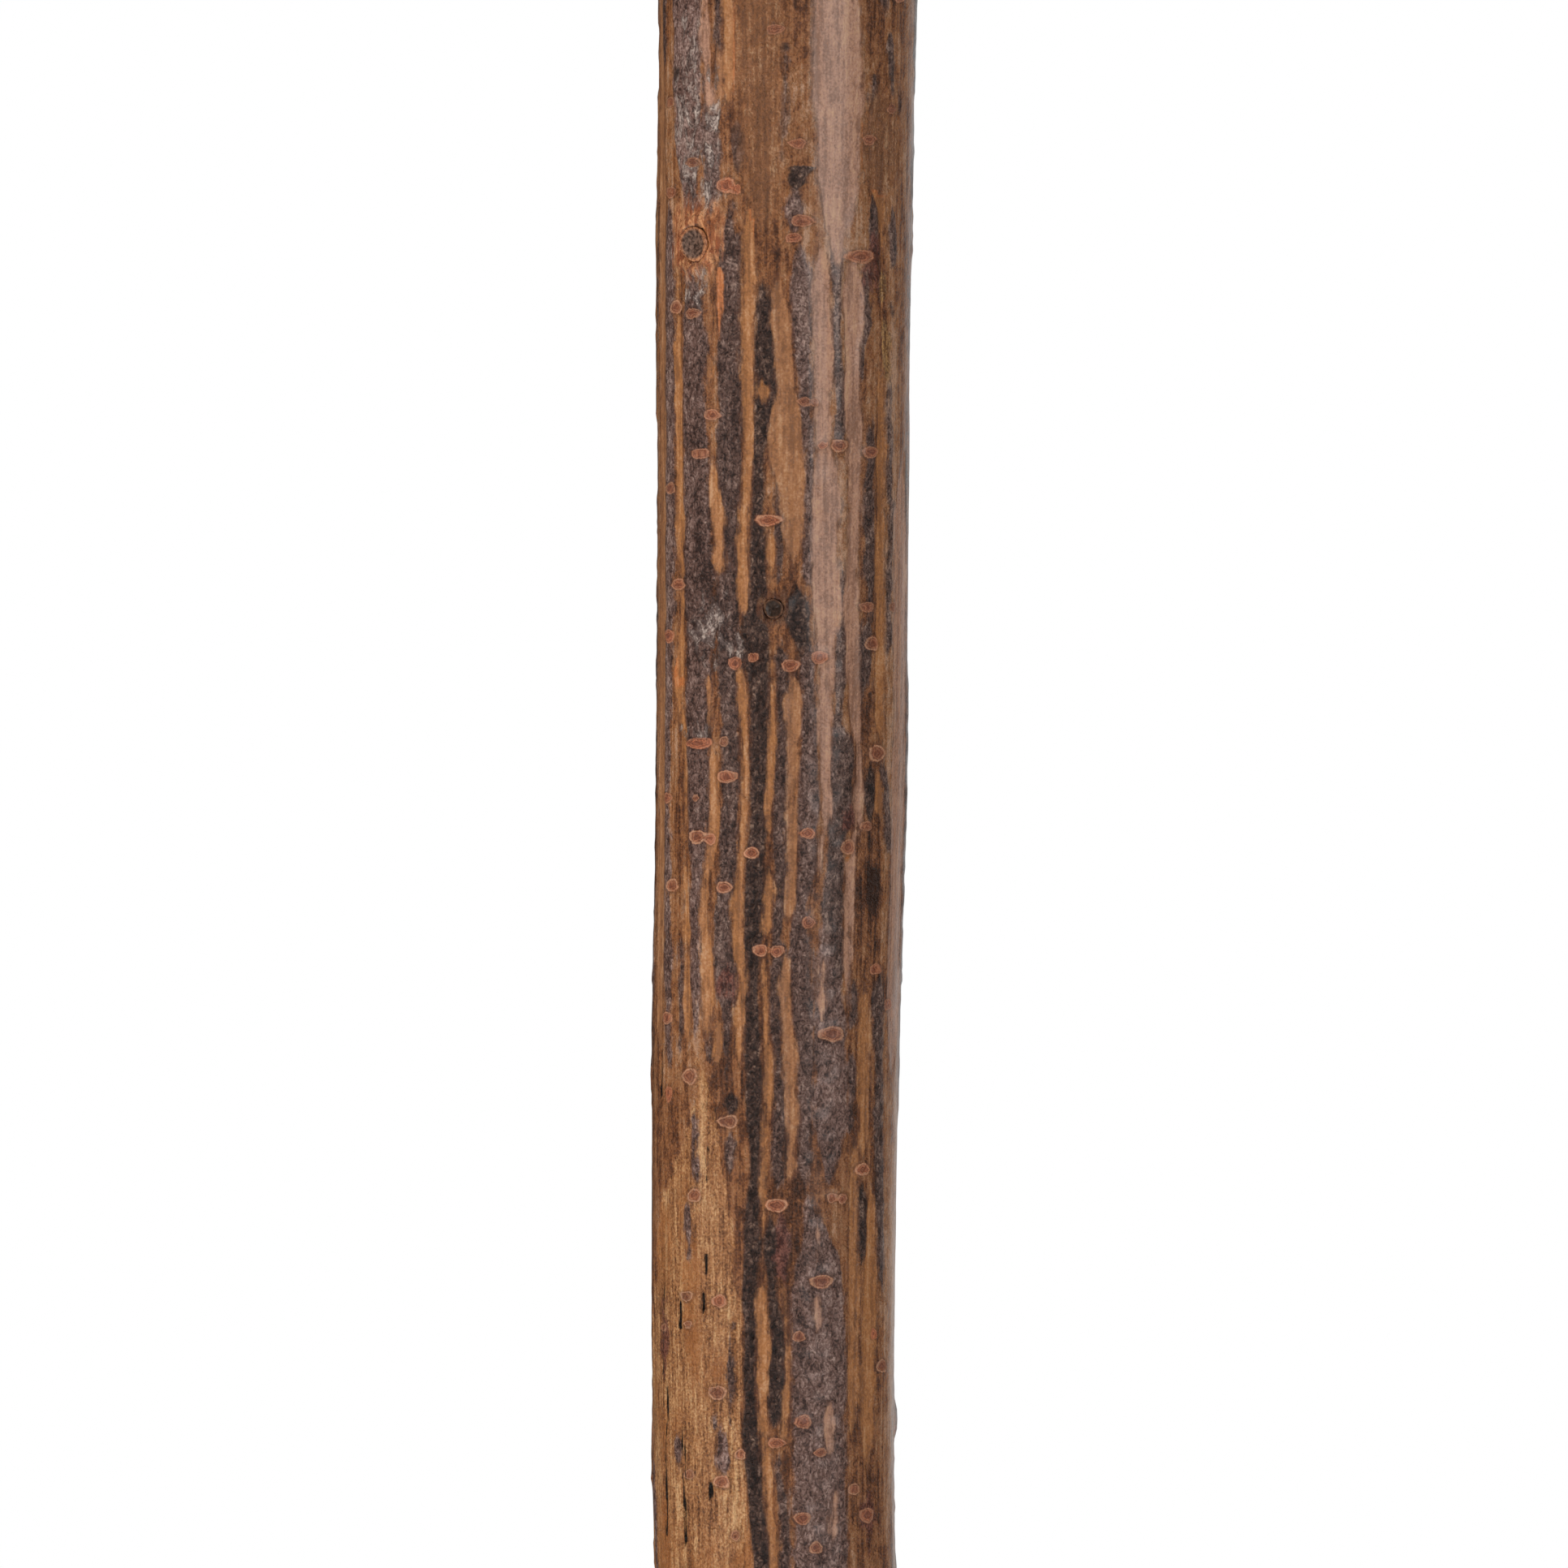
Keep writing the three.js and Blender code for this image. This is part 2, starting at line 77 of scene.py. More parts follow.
# Smooth tan strips: tone, then row, left and right edge in the photograph
TAN_STRIPS = [
    (TAN, (0, 811, 816), (240, 811, 820), (500, 812, 820), (820, 811, 819), (1060, 809, 817),
     (1300, 808, 816)),
    (AMBER, (300, 834, 838), (420, 832, 841), (600, 832, 842), (700, 836, 843), (740, 838, 843),
     (800, 834, 842), (830, 829, 841), (867, 830, 840), (900, 838, 844), (1000, 840, 846),
     (1068, 840, 847), (1148, 841, 848), (1220, 843, 849), (1308, 843, 849)),
    (ORANGE, (806, 827, 836), (835, 828, 842), (872, 832, 840)),
    (PINK, (0, 863, 875), (70, 864, 876), (112, 868, 880), (150, 870, 876)),
    (TAN, (40, 882, 887), (95, 878, 891), (150, 881, 888)),
    (AMBER, (0, 891, 903), (70, 892, 905), (146, 894, 902)),
    (BROWN, (0, 906, 962), (110, 907, 964), (190, 914, 964), (268, 914, 962), (310, 922, 950)),
    (ORANGE, (324, 884, 889), (370, 881, 889), (392, 883, 890), (427, 884, 888)),
    (AMBER, (430, 872, 877), (462, 871, 880), (490, 873, 877)),
    (AMBER, (556, 876, 881), (600, 873, 885), (640, 877, 890), (680, 878, 894), (704, 881, 896),
     (724, 884, 892)),
    (AMBER, (249, 918, 927), (330, 914, 931), (400, 912, 930), (480, 914, 930), (560, 915, 930),
     (628, 911, 925), (680, 908, 922), (720, 909, 924), (768, 909, 918)),
    (ORANGE, (686, 910, 920), (725, 911, 923), (750, 909, 919)),
    (TAN, (308, 954, 962), (360, 948, 972), (420, 950, 976), (480, 956, 980), (515, 948, 988),
     (560, 945, 993), (600, 958, 992), (660, 963, 991), (724, 970, 984)),
    (AMBER, (648, 940, 956), (676, 944, 956), (722, 946, 952)),
    (AMBER, (462, 934, 944), (478, 933, 950), (506, 938, 948)),
    # Painted sheen: this wide pale pink strip widens the key lamp's sheen band at the top, over the bark's
    # tan
    (PINK, (0, 1000, 1060), (120, 1003, 1064), (240, 1008, 1060), (300, 1012, 1052),
     (345, 1018, 1044)),
    (PINK, (286, 1002, 1020), (360, 1000, 1024), (440, 1001, 1024), (540, 1004, 1026),
     (620, 1000, 1036), (700, 1000, 1033), (760, 1002, 1035), (800, 1006, 1028), (853, 1008, 1026),
     (907, 1007, 1025), (960, 1009, 1022), (1001, 1012, 1021), (1041, 1008, 1017),
     (1081, 1005, 1014), (1115, 1006, 1011)),
    (PINK, (300, 1040, 1060), (370, 1037, 1065), (460, 1040, 1058), (530, 1042, 1064),
     (640, 1044, 1060), (720, 1042, 1058), (800, 1041, 1060), (880, 1045, 1062),
     (920, 1053, 1065), (974, 1052, 1066), (1020, 1053, 1062), (1046, 1044, 1056),
     (1068, 1041, 1056), (1108, 1040, 1056), (1148, 1039, 1051), (1190, 1040, 1048),
     (1262, 1040, 1047)),
    (ORANGE, (836, 1044, 1056), (900, 1052, 1062), (950, 1056, 1063)),
    (ORANGE, (1030, 1042, 1052), (1068, 1042, 1055), (1130, 1041, 1050)),
    (AMBER, (13, 1014, 1024), (70, 1013, 1025), (134, 1016, 1022)),
    (PINK, (540, 1112, 1119), (620, 1104, 1118), (720, 1102, 1118), (810, 1102, 1117),
     (900, 1103, 1116), (990, 1100, 1115), (1080, 1099, 1112), (1170, 1096, 1110),
     (1260, 1091, 1108), (1330, 1090, 1106)),
    (BROWN, (100, 1072, 1096), (139, 1060, 1104), (185, 1058, 1110), (241, 1064, 1102),
     (262, 1078, 1090)),
    (AMBER, (180, 1070, 1078), (236, 1074, 1090), (262, 1084, 1092), (330, 1086, 1091),
     (400, 1084, 1090)),
    (AMBER, (430, 1080, 1088), (467, 1080, 1090), (560, 1080, 1092), (700, 1079, 1091),
     (820, 1080, 1092), (900, 1081, 1092), (926, 1084, 1090)),
    (AMBER, (388, 1090, 1098), (430, 1088, 1101), (470, 1090, 1097)),
    (AMBER, (939, 1079, 1085), (1000, 1080, 1090), (1030, 1085, 1093)),
    (TAN, (822, 970, 986), (853, 969, 990), (907, 970, 986), (960, 969, 984), (1014, 969, 982),
     (1068, 970, 982), (1108, 967, 980), (1154, 965, 972)),
    (AMBER, (820, 866, 874), (870, 868, 878), (914, 870, 876)),
    (AMBER, (896, 872, 878), (925, 872, 882), (960, 874, 886), (1000, 875, 887),
     (1041, 870, 883), (1081, 863, 875), (1121, 860, 871), (1160, 862, 874), (1200, 862, 878),
     (1247, 864, 876), (1300, 868, 875)),
    (AMBER, (808, 908, 916), (854, 910, 922), (907, 912, 923), (947, 914, 923), (987, 911, 923),
     (1028, 910, 920), (1068, 909, 917), (1108, 901, 915), (1148, 899, 915), (1202, 910, 919),
     (1250, 903, 916), (1300, 903, 915), (1324, 906, 913)),
    (AMBER, (800, 947, 952), (854, 948, 955), (894, 947, 957), (920, 946, 956), (960, 944, 953),
     (1000, 943, 951), (1038, 946, 951)),
    (AMBER, (1052, 943, 952), (1095, 942, 953), (1135, 941, 951), (1165, 943, 949)),
    (AMBER, (1174, 936, 948), (1240, 937, 947), (1280, 937, 947), (1300, 940, 953),
     (1354, 940, 952), (1408, 936, 949), (1448, 937, 947), (1480, 938, 943), (1532, 937, 941)),
    (TAN, (1170, 962, 974), (1260, 962, 974), (1287, 963, 981), (1313, 965, 982),
     (1354, 967, 981), (1400, 969, 982), (1448, 966, 980), (1468, 969, 976)),
    (PINK, (1160, 1005, 1014), (1215, 1005, 1020), (1264, 1008, 1017)),
    (AMBER, (1238, 878, 888), (1280, 878, 889), (1322, 880, 886)),
    (AMBER, (1196, 1057, 1070), (1280, 1058, 1073), (1340, 1057, 1072), (1436, 1058, 1068)),
    (AMBER, (1390, 1050, 1056), (1450, 1048, 1056), (1512, 1046, 1057), (1600, 1045, 1058),
     (1700, 1045, 1058), (1788, 1047, 1055)),
    (AMBER, (1446, 1068, 1078), (1512, 1069, 1079), (1562, 1066, 1080), (1640, 1062, 1080),
     (1720, 1060, 1078), (1826, 1064, 1074)),
    (AMBER, (1552, 936, 946), (1579, 933, 944), (1646, 932, 946), (1726, 932, 945),
     (1780, 938, 947), (1820, 940, 953), (1847, 941, 954), (1900, 947, 959), (1932, 949, 956)),
    (AMBER, (1572, 963, 967), (1620, 965, 970), (1673, 969, 974), (1713, 966, 973),
     (1753, 964, 971), (1786, 963, 969)),
    (PINK, (1496, 1003, 1011), (1568, 1004, 1010)),
    (PINK, (1590, 1001, 1012), (1646, 1003, 1009)),
    (PINK, (1720, 1017, 1028), (1800, 1018, 1027)),
    (PINK, (1822, 1026, 1038), (1910, 1020, 1030)),
]

# Raised pebbled dark strips, listed the same way
DARK_STRIPS = [
    (CHARCOAL, (0, 815, 821), (50, 815, 821), (94, 816, 819)),
    (GREY, (0, 832, 866), (100, 830, 867), (200, 834, 866), (262, 840, 864), (284, 844, 858)),
    (BLACK, (44, 832, 842), (90, 830, 845), (128, 832, 841)),
    (SLATE, (96, 868, 884), (180, 867, 888), (270, 868, 886)),
    (CHARCOAL, (60, 866, 870), (200, 867, 872)),
    (CHARCOAL, (0, 882, 889), (85, 881, 888), (108, 883, 887)),
    (CHARCOAL, (142, 906, 913), (180, 905, 915), (222, 908, 912)),
    (CHARCOAL, (238, 894, 910), (316, 889, 911), (420, 885, 914), (560, 884, 914),
     (700, 884, 909), (800, 884, 908), (880, 886, 909), (960, 887, 910), (1020, 886, 909),
     (1080, 884, 905), (1120, 880, 900), (1150, 880, 904), (1182, 877, 907), (1210, 880, 909),
     (1239, 888, 908), (1260, 889, 900), (1340, 889, 902)),
    (CHARCOAL, (60, 928, 934), (96, 928, 935), (118, 929, 933)),
    (BLACK, (50, 961, 974), (66, 963, 972)),
    (CHARCOAL, (58, 964, 971), (120, 962, 971), (170, 960, 968), (208, 959, 965)),
    (BLACK, (202, 970, 1008), (216, 972, 1003)),
    (BLACK, (204, 970, 990), (224, 973, 995), (240, 970, 984)),
    (SLATE, (222, 970, 992), (262, 969, 990), (300, 972, 980)),
    (SLATE, (292, 976, 992), (350, 975, 999), (420, 977, 1001), (470, 982, 1001),
     (520, 985, 1001), (560, 985, 1003), (640, 990, 1001), (700, 990, 1002), (744, 992, 1000)),
    (CHARCOAL, (290, 1026, 1034), (360, 1023, 1036), (420, 1025, 1037), (440, 1026, 1039),
     (534, 1027, 1041), (570, 1030, 1038)),
    (CHARCOAL, (680, 1031, 1044), (715, 1030, 1047), (850, 1029, 1042), (890, 1028, 1040),
     (918, 1024, 1054), (940, 1022, 1055), (974, 1022, 1050), (1014, 1021, 1051),
     (1041, 1019, 1039), (1068, 1017, 1040), (1125, 1008, 1040), (1178, 1018, 1040),
     (1220, 1020, 1038), (1262, 1023, 1035)),
    (CHARCOAL, (580, 1009, 1014), (640, 1010, 1013)),
    (SLATE, (240, 820, 832), (400, 818, 834), (587, 818, 832), (700, 819, 831), (830, 818, 828),
     (990, 817, 824), (1100, 818, 826), (1180, 819, 828), (1247, 820, 827), (1336, 821, 828)),
    (SLATE, (314, 842, 868), (420, 842, 871), (500, 842, 870), (600, 842, 873), (700, 842, 877),
     (820, 845, 876), (934, 846, 873), (1041, 848, 869), (1121, 849, 862), (1230, 850, 862),
     (1294, 851, 858)),
    (BLACK, (314, 934, 944), (360, 930, 948), (420, 929, 955), (468, 929, 959), (505, 928, 952),
     (560, 926, 943), (634, 925, 941), (700, 923, 944), (752, 918, 944), (790, 913, 949),
     (818, 915, 949), (853, 923, 949), (907, 923, 946), (960, 924, 944), (1014, 922, 944),
     (1041, 920, 943), (1081, 918, 942), (1121, 917, 941), (1162, 917, 935), (1233, 918, 935),
     (1287, 917, 939), (1340, 921, 939), (1394, 921, 937), (1448, 923, 937), (1500, 918, 936),
     (1541, 918, 936), (1580, 915, 934), (1632, 917, 932), (1673, 917, 930), (1726, 917, 930),
     (1766, 914, 935), (1806, 918, 937), (1847, 922, 940), (1887, 926, 946), (1932, 931, 948)),
    (BLACK, (436, 946, 956), (490, 949, 960), (526, 951, 958)),
    (CHARCOAL, (580, 958, 964), (610, 957, 965), (640, 957, 963), (724, 956, 963)),
    (BLACK, (712, 972, 990), (744, 964, 998), (790, 974, 998), (824, 980, 994)),
    (CHARCOAL, (776, 955, 966), (835, 958, 970), (880, 957, 970), (960, 953, 969),
     (1014, 952, 968), (1068, 953, 969), (1121, 952, 965), (1180, 948, 963), (1233, 948, 963),
     (1268, 949, 962), (1287, 954, 961), (1341, 953, 965), (1367, 953, 967), (1408, 949, 966),
     (1448, 949, 966), (1478, 952, 964)),
    (CHARCOAL, (86, 1073, 1082), (168, 1074, 1081)),
    (CHARCOAL, (0, 1090, 1097), (30, 1092, 1096)),
    (CHARCOAL, (36, 1096, 1102), (128, 1098, 1102)),
    (CHARCOAL, (100, 1108, 1113), (156, 1109, 1113)),
    (CHARCOAL, (228, 1071, 1082), (318, 1073, 1081)),
    (CHARCOAL, (246, 1094, 1106), (322, 1096, 1106), (350, 1096, 1102)),
    (CHARCOAL, (314, 1064, 1074), (400, 1063, 1072), (430, 1059, 1066), (482, 1057, 1063)),
    (CHARCOAL, (360, 1092, 1100), (400, 1098, 1103)),
    (CHARCOAL, (488, 1069, 1076), (560, 1068, 1077), (660, 1065, 1077), (750, 1066, 1076),
     (790, 1058, 1074), (830, 1058, 1072), (857, 1060, 1069), (880, 1061, 1064)),
    (CHARCOAL, (460, 1093, 1100), (620, 1094, 1101), (755, 1094, 1100), (826, 1094, 1098)),
    (SLATE, (780, 984, 1002), (832, 986, 1004), (880, 988, 1005), (961, 984, 1008),
     (1014, 982, 1010), (1068, 983, 1004), (1121, 979, 995), (1148, 974, 997),
     (1220, 974, 997), (1233, 977, 1003), (1287, 982, 1002), (1340, 982, 999),
     (1394, 983, 999), (1434, 982, 1002), (1476, 978, 1003)),
    (BLACK, (928, 1066, 1078), (974, 1066, 1080), (1022, 1068, 1078)),
    (CHARCOAL, (926, 1086, 1095), (960, 1086, 1096), (1000, 1090, 1099), (1064, 1093, 1100)),
    (CHARCOAL, (1184, 1076, 1090), (1215, 1074, 1092), (1250, 1075, 1089), (1290, 1078, 1087),
     (1350, 1077, 1086), (1420, 1077, 1087), (1448, 1079, 1088), (1500, 1080, 1088),
     (1560, 1081, 1090), (1610, 1083, 1089)),
    (CHARCOAL, (1200, 1048, 1057), (1274, 1049, 1056)),
    (SLATE, (1292, 1045, 1053), (1402, 1044, 1050)),
    (BLACK, (1444, 1059, 1067), (1512, 1058, 1069), (1564, 1058, 1066)),
    (BLACK, (1342, 893, 908), (1380, 892, 909)),
    (CHARCOAL, (1388, 891, 906), (1454, 893, 903)),
    (CHARCOAL, (1150, 836, 842), (1304, 836, 841)),
    (CHARCOAL, (1235, 868, 874), (1312, 868, 876)),
    (GREY, (1493, 954, 972), (1530, 954, 975), (1580, 957, 971)),
    (BLACK, (1490, 942, 955), (1540, 943, 955), (1576, 945, 954), (1619, 948, 962),
     (1659, 949, 968), (1700, 946, 966), (1740, 946, 963), (1774, 948, 961)),
    (CHARCOAL, (1782, 954, 964), (1826, 955, 966), (1887, 962, 974), (1932, 962, 971)),
    (GREY, (1110, 1002, 1020), (1160, 1002, 1030), (1230, 1004, 1040), (1290, 1004, 1042),
     (1380, 1002, 1044), (1466, 1000, 1040)),
    (GREY, (1462, 972, 1010), (1540, 974, 1040), (1640, 976, 1043), (1750, 976, 1042),
     (1850, 978, 1042), (1932, 980, 1044)),
    (SLATE, (1752, 829, 835), (1790, 829, 837), (1826, 831, 835)),
    (GREY, (1740, 883, 890), (1775, 881, 894), (1800, 882, 896), (1832, 886, 892)),
    (CHARCOAL, (1734, 876, 882), (1772, 878, 884)),
    (CHARCOAL, (1624, 899, 902), (1680, 897, 902), (1710, 899, 903), (1760, 898, 901)),
    (SLATE, (1363, 850, 857), (1468, 851, 857)),
    (SLATE, (1474, 842, 848), (1562, 843, 847)),
]

# Wood that is rubbed bare: row, left and right edge
BARE_AREAS = [
    ((1288, 842, 862), (1310, 838, 880), (1350, 836, 900), (1400, 822, 914), (1480, 806, 919),
     (1540, 804, 919), (1580, 803, 914), (1660, 803, 916), (1760, 803, 914), (1800, 804, 917),
     (1850, 806, 921), (1900, 807, 925), (1932, 808, 930)),
]

# Open drying cracks: row, left and right edge
CRACKS = [
    ((1596, 834, 836), (1644, 834, 836)),
    ((1750, 837, 840), (1800, 839, 841), (1850, 839, 842), (1910, 840, 843)),
    ((1540, 866, 868), (1576, 866, 868)),
    ((1406, 867, 869), (1464, 866, 869)),
    ((1588, 862, 864), (1622, 863, 865)),
    ((1818, 870, 875), (1856, 871, 875)),
    ((1560, 814, 815), (1700, 813, 815)),
    ((1700, 819, 820), (1900, 818, 820)),
    ((1286, 814, 816), (1360, 813, 815)),
]

# Lenticels: middle column and row, width and height in the photograph, tone from dull brown
# to bright orange, and how pale the rim is
LENTICELS = [
    (982, 177, 24, 13, 0.7, 0.4), (1072, 172, 20, 14, 0.6, 0.3), (1100, 134, 12, 14, 0.5, 0.3),
    (955, 36, 24, 13, 0.5, 0.2), (895, 228, 23, 20, 1.0, 0.7), (908, 233, 12, 13, 1.0, 0.4),
    (856, 200, 22, 13, 0.4, 0.6), (826, 126, 12, 14, 0.5, 0.5), (827, 237, 14, 14, 0.6, 0.4),
    (989, 272, 30, 15, 0.7, 0.4), (978, 293, 22, 13, 0.8, 0.3), (1060, 316, 40, 17, 0.8, 0.5),
    (834, 379, 16, 18, 0.5, 0.9), (855, 386, 20, 14, 0.5, 0.5), (878, 511, 22, 14, 0.7, 0.5),
    (863, 559, 24, 14, 0.6, 0.5), (990, 495, 18, 12, 0.5, 0.3), (1003, 496, 14, 11, 0.5, 0.3),
    (1013, 549, 13, 11, 0.7, 0.4), (1033, 549, 24, 17, 0.7, 0.9), (1072, 557, 22, 15, 0.7, 0.5),
    (827, 602, 13, 15, 0.5, 0.5), (947, 641, 36, 16, 0.9, 0.9), (836, 720, 18, 15, 0.6, 0.5),
    (824, 784, 13, 18, 0.9, 0.3), (1068, 748, 20, 14, 0.6, 0.4), (1101, 748, 10, 14, 0.5, 0.3),
    (1075, 793, 19, 19, 0.6, 0.9), (1010, 810, 22, 16, 0.9, 0.5), (974, 820, 24, 16, 0.8, 0.6),
    (928, 810, 16, 13, 0.7, 0.4), (905, 817, 18, 16, 0.9, 0.2), (860, 916, 34, 14, 1.0, 0.2),
    (891, 914, 13, 14, 0.3, 0.6), (895, 957, 28, 16, 0.8, 0.8), (1082, 928, 22, 21, 0.6, 1.0),
    (857, 983, 9, 10, 0.5, 0.6), (822, 983, 10, 15, 0.7, 0.3), (859, 1031, 22, 18, 0.6, 1.0),
    (874, 1034, 13, 14, 0.8, 0.5), (995, 1027, 24, 14, 0.9, 0.6), (1045, 1044, 20, 20, 0.6, 0.7),
    (926, 1051, 21, 15, 0.8, 1.0), (1068, 1018, 16, 12, 0.6, 0.4), (828, 1091, 15, 18, 0.6, 0.9),
    (892, 1093, 22, 15, 0.7, 0.8), (996, 1137, 19, 16, 0.7, 0.3), (937, 1171, 20, 16, 0.8, 0.8),
    (957, 1172, 20, 15, 0.8, 0.7), (1080, 1194, 16, 14, 0.8, 0.4), (1095, 1238, 12, 15, 0.7, 0.4),
    (822, 1254, 13, 17, 0.7, 0.6), (1024, 1274, 32, 19, 0.6, 0.8), (848, 1326, 19, 22, 0.5, 0.8),
    (823, 1348, 9, 22, 0.9, 0.2), (896, 1382, 28, 17, 0.3, 0.9), (1063, 1441, 18, 16, 0.9, 1.0),
    (853, 1473, 18, 17, 0.6, 1.0), (957, 1485, 29, 17, 0.8, 1.0), (1025, 1476, 14, 13, 0.7, 0.9),
    (1038, 1477, 14, 14, 0.7, 0.8), (1012, 1579, 29, 18, 0.7, 1.0), (843, 1597, 18, 13, 0.2, 1.0),
    (885, 1603, 20, 17, 0.9, 0.7), (845, 1632, 12, 11, 0.4, 0.9), (984, 1647, 17, 14, 0.6, 0.8),
    (1077, 1644, 8, 14, 1.0, 0.1), (1086, 1683, 14, 17, 0.6, 0.9), (815, 1636, 8, 12, 0.4, 0.7),
    (882, 1716, 25, 18, 0.4, 0.8), (989, 1752, 22, 17, 0.8, 0.6), (957, 1778, 24, 13, 0.8, 0.5),
    (1010, 1790, 18, 12, 0.7, 0.7), (912, 1792, 17, 14, 0.7, 1.0), (888, 1826, 22, 17, 0.7, 1.0),
    (846, 1817, 15, 13, 0.4, 0.6), (1052, 1835, 16, 15, 0.6, 0.9), (1068, 1867, 18, 19, 0.8, 0.6),
    (988, 1871, 22, 16, 0.7, 0.8), (905, 1892, 14, 13, 0.4, 0.6), (1005, 1907, 18, 16, 0.6, 0.9),
]

# Broad soft ovals where the bark is lighter or darker: middle column and row, half width and half
# height, and how much lighter (above 0) or darker (below 0) the bark is there. Some are the bark's
# own tone. The light ones at columns 988 to 1042, fading downwards, are painted sheen from the key
# lamp, and the narrow light ones at the left and right edges are painted rim light
TONES_AND_SHEEN = [
    (1030, 200, 34, 330, 0.42), (855, 110, 18, 150, 0.25), (988, 300, 14, 200, 0.15),
    (1035, 600, 32, 220, 0.22), (1018, 880, 30, 160, 0.14), (935, 130, 36, 170, 0.04),
    (1084, 600, 24, 300, 0.04), (1075, 1080, 24, 200, -0.1), (1076, 1095, 20, 22, -0.35),
    (852, 1200, 30, 140, 0.14), (1020, 1400, 30, 140, -0.05), (1072, 1700, 24, 260, -0.04),
    (892, 230, 22, 40, 0.12), (880, 720, 60, 130, -0.2), (940, 900, 50, 170, -0.08),
    (935, 1200, 46, 200, -0.1), (960, 1600, 40, 260, -0.2), (818, 740, 14, 420, 0.34),
    (828, 150, 12, 170, 0.2), (1042, 760, 16, 200, 0.2), (1098, 700, 10, 500, 0.35),
    (1098, 1600, 10, 300, 0.4), (1000, 1700, 34, 220, 0.1),
]

# Grey crinkled flakes, rust-red patches and olive flakes: middle column and row, half width and
# half height
PATCHES = {
    "flake": [
        (848, 150, 19, 135), (879, 160, 9, 95), (862, 232, 22, 52), (872, 776, 27, 50),
        (906, 800, 12, 24), (856, 350, 15, 44), (855, 900, 22, 14),
    ],
    "rust": [
        (964, 1536, 12, 48), (1071, 1872, 12, 34), (816, 1650, 6, 50), (1076, 330, 16, 40),
        (896, 1207, 18, 26), (1046, 1010, 9, 20),
    ],
    "olive": [(1094, 428, 7, 46), (1088, 352, 5, 24)],
}

# Trimmed twigs whose torn collar shows: column, row, how orange it is and how far it spreads. The
# twig that is meant lies within the search distance of that place
SEEN_COLLARS = [(858, 308, 1.0, 1.32), (954, 751, 0.25, 1.08)]
PLAIN_COLLAR = (0.45, 1.0)
COLLAR_SEARCH = 3.0

# Strips that the photograph doesn't show: kind, count, widest half width and highest tone
HIDDEN_STRIPS = [
    ("dark", 900, 1.5, BLACK), ("tan", 700, 1.25, 1.1 * AMBER), ("bare", 9, 5.0, 1),
    ("crack", 60, 0.12, 1),
]
# A strip's length is the first of these and up to the second more
HIDDEN_LENGTHS = (8, 56)
HIDDEN_POINTS = 5

# Strips: how many half widths their pointed ends take up, at most which share of their length,
# the shape of these ends, how much wider than listed the strips are, and how close to the
# photograph's frame they run on past it, to a thin end
TAIL_WIDTHS = 3.5
TAIL_SHARE = 0.4
TAIL_POWER = 0.6
TAIL_FADE = 0.5
WIDENING = {"tan": -0.03, "dark": 0.11, "bare": 0.0, "crack": 0.0}
FRAME_EDGE_PIXELS = 5
THIN_END = 0.1

# Bark area in square millimetres for each lenticel that the photograph doesn't show
LENTICEL_AREA = 88.0
LENTICEL_SEEN_ANGLE = 1.5

# A lenticel near the shaft's edge is widened as if its cosine were at least this
LEAST_COSINE = 0.35

# Relief of the bark, with the lumps of its ragged edges and pebbles. A layer of noise is its
# height and the size of its lumps
STRIP_RISE = 0.1
STRIP_DIP = 0.09
PEBBLE_RISE = 0.03
BARE_DIP = 0.16
CRACK_DIP = 0.14
RAGGED_LAYERS = [(0.3, (1.2, 1.2, 3.2))]
PEBBLE_LAYERS = [(1.0, (0.8, 0.8, 1.1))]
SWELLING_LAYERS = [(0.1, (9, 9, 26)), (0.05, (3, 3, 14))]

# What the bark's fields start from, or else 0, and are on the sleeve's inside, or else -1
FIELD_START = {
    "tan": -2, "dark": -2, "bare": -2, "crack": -2, "lens": -1, "flake": -1, "rust": -1,
    "olive": -1, "knot": 3,
}
FIELD_INSIDE = {"knot": 3, "bare": 1, "light": 0}

# The bark and the wood in it. The root's crown stands out over the bark by the step, and the
# shaft's radius is about this in the middle
BARK_THICKNESS = 0.9
WOOD_GAP = 0.3
WOOD_INSET = BARK_THICKNESS + WOOD_GAP
CROWN_STEP = 0.3
MID_RADIUS = 12

# The bark's mesh: columns closer together in front, and rows where the photograph shows them
SHAFT_COLUMNS = 140
FRONT_CROWDING = 0.4
TIP_ROWS = 12
SEEN_ROW_STEP = 0.5
PLAIN_ROW_STEP = 2.15
SEEN_MARGIN = 6.0
SEEN_LOW = PHOTO_LOW - SEEN_MARGIN
SEEN_HIGH = PHOTO_HIGH + SEEN_MARGIN
SEEN_ANGLE = 1.45

# The bark's torn top edge: where it begins below the top, how deep it tears and how it thins
EDGE_DEPTH = 14.0
EDGE_WAVE = 3.6
EDGE_THINNING = 0.5
EDGE_CIRCLE = 15
EDGE_LAYERS = [(0.45, 4.0), (0.25, 1.3)]

# The rings of the CAD bark. Their vertices aren't shared, so at a full ring's height six
# triangles meet in each corner, inside and outside. A vertex belongs to a corner when its angle
# is within the window, and so many terms of the section are kept
RING_SIDES = 20
FULL_RING = 2 * 6 * RING_SIDES
CORNER_WINDOW = 0.06
HARMONICS = 6

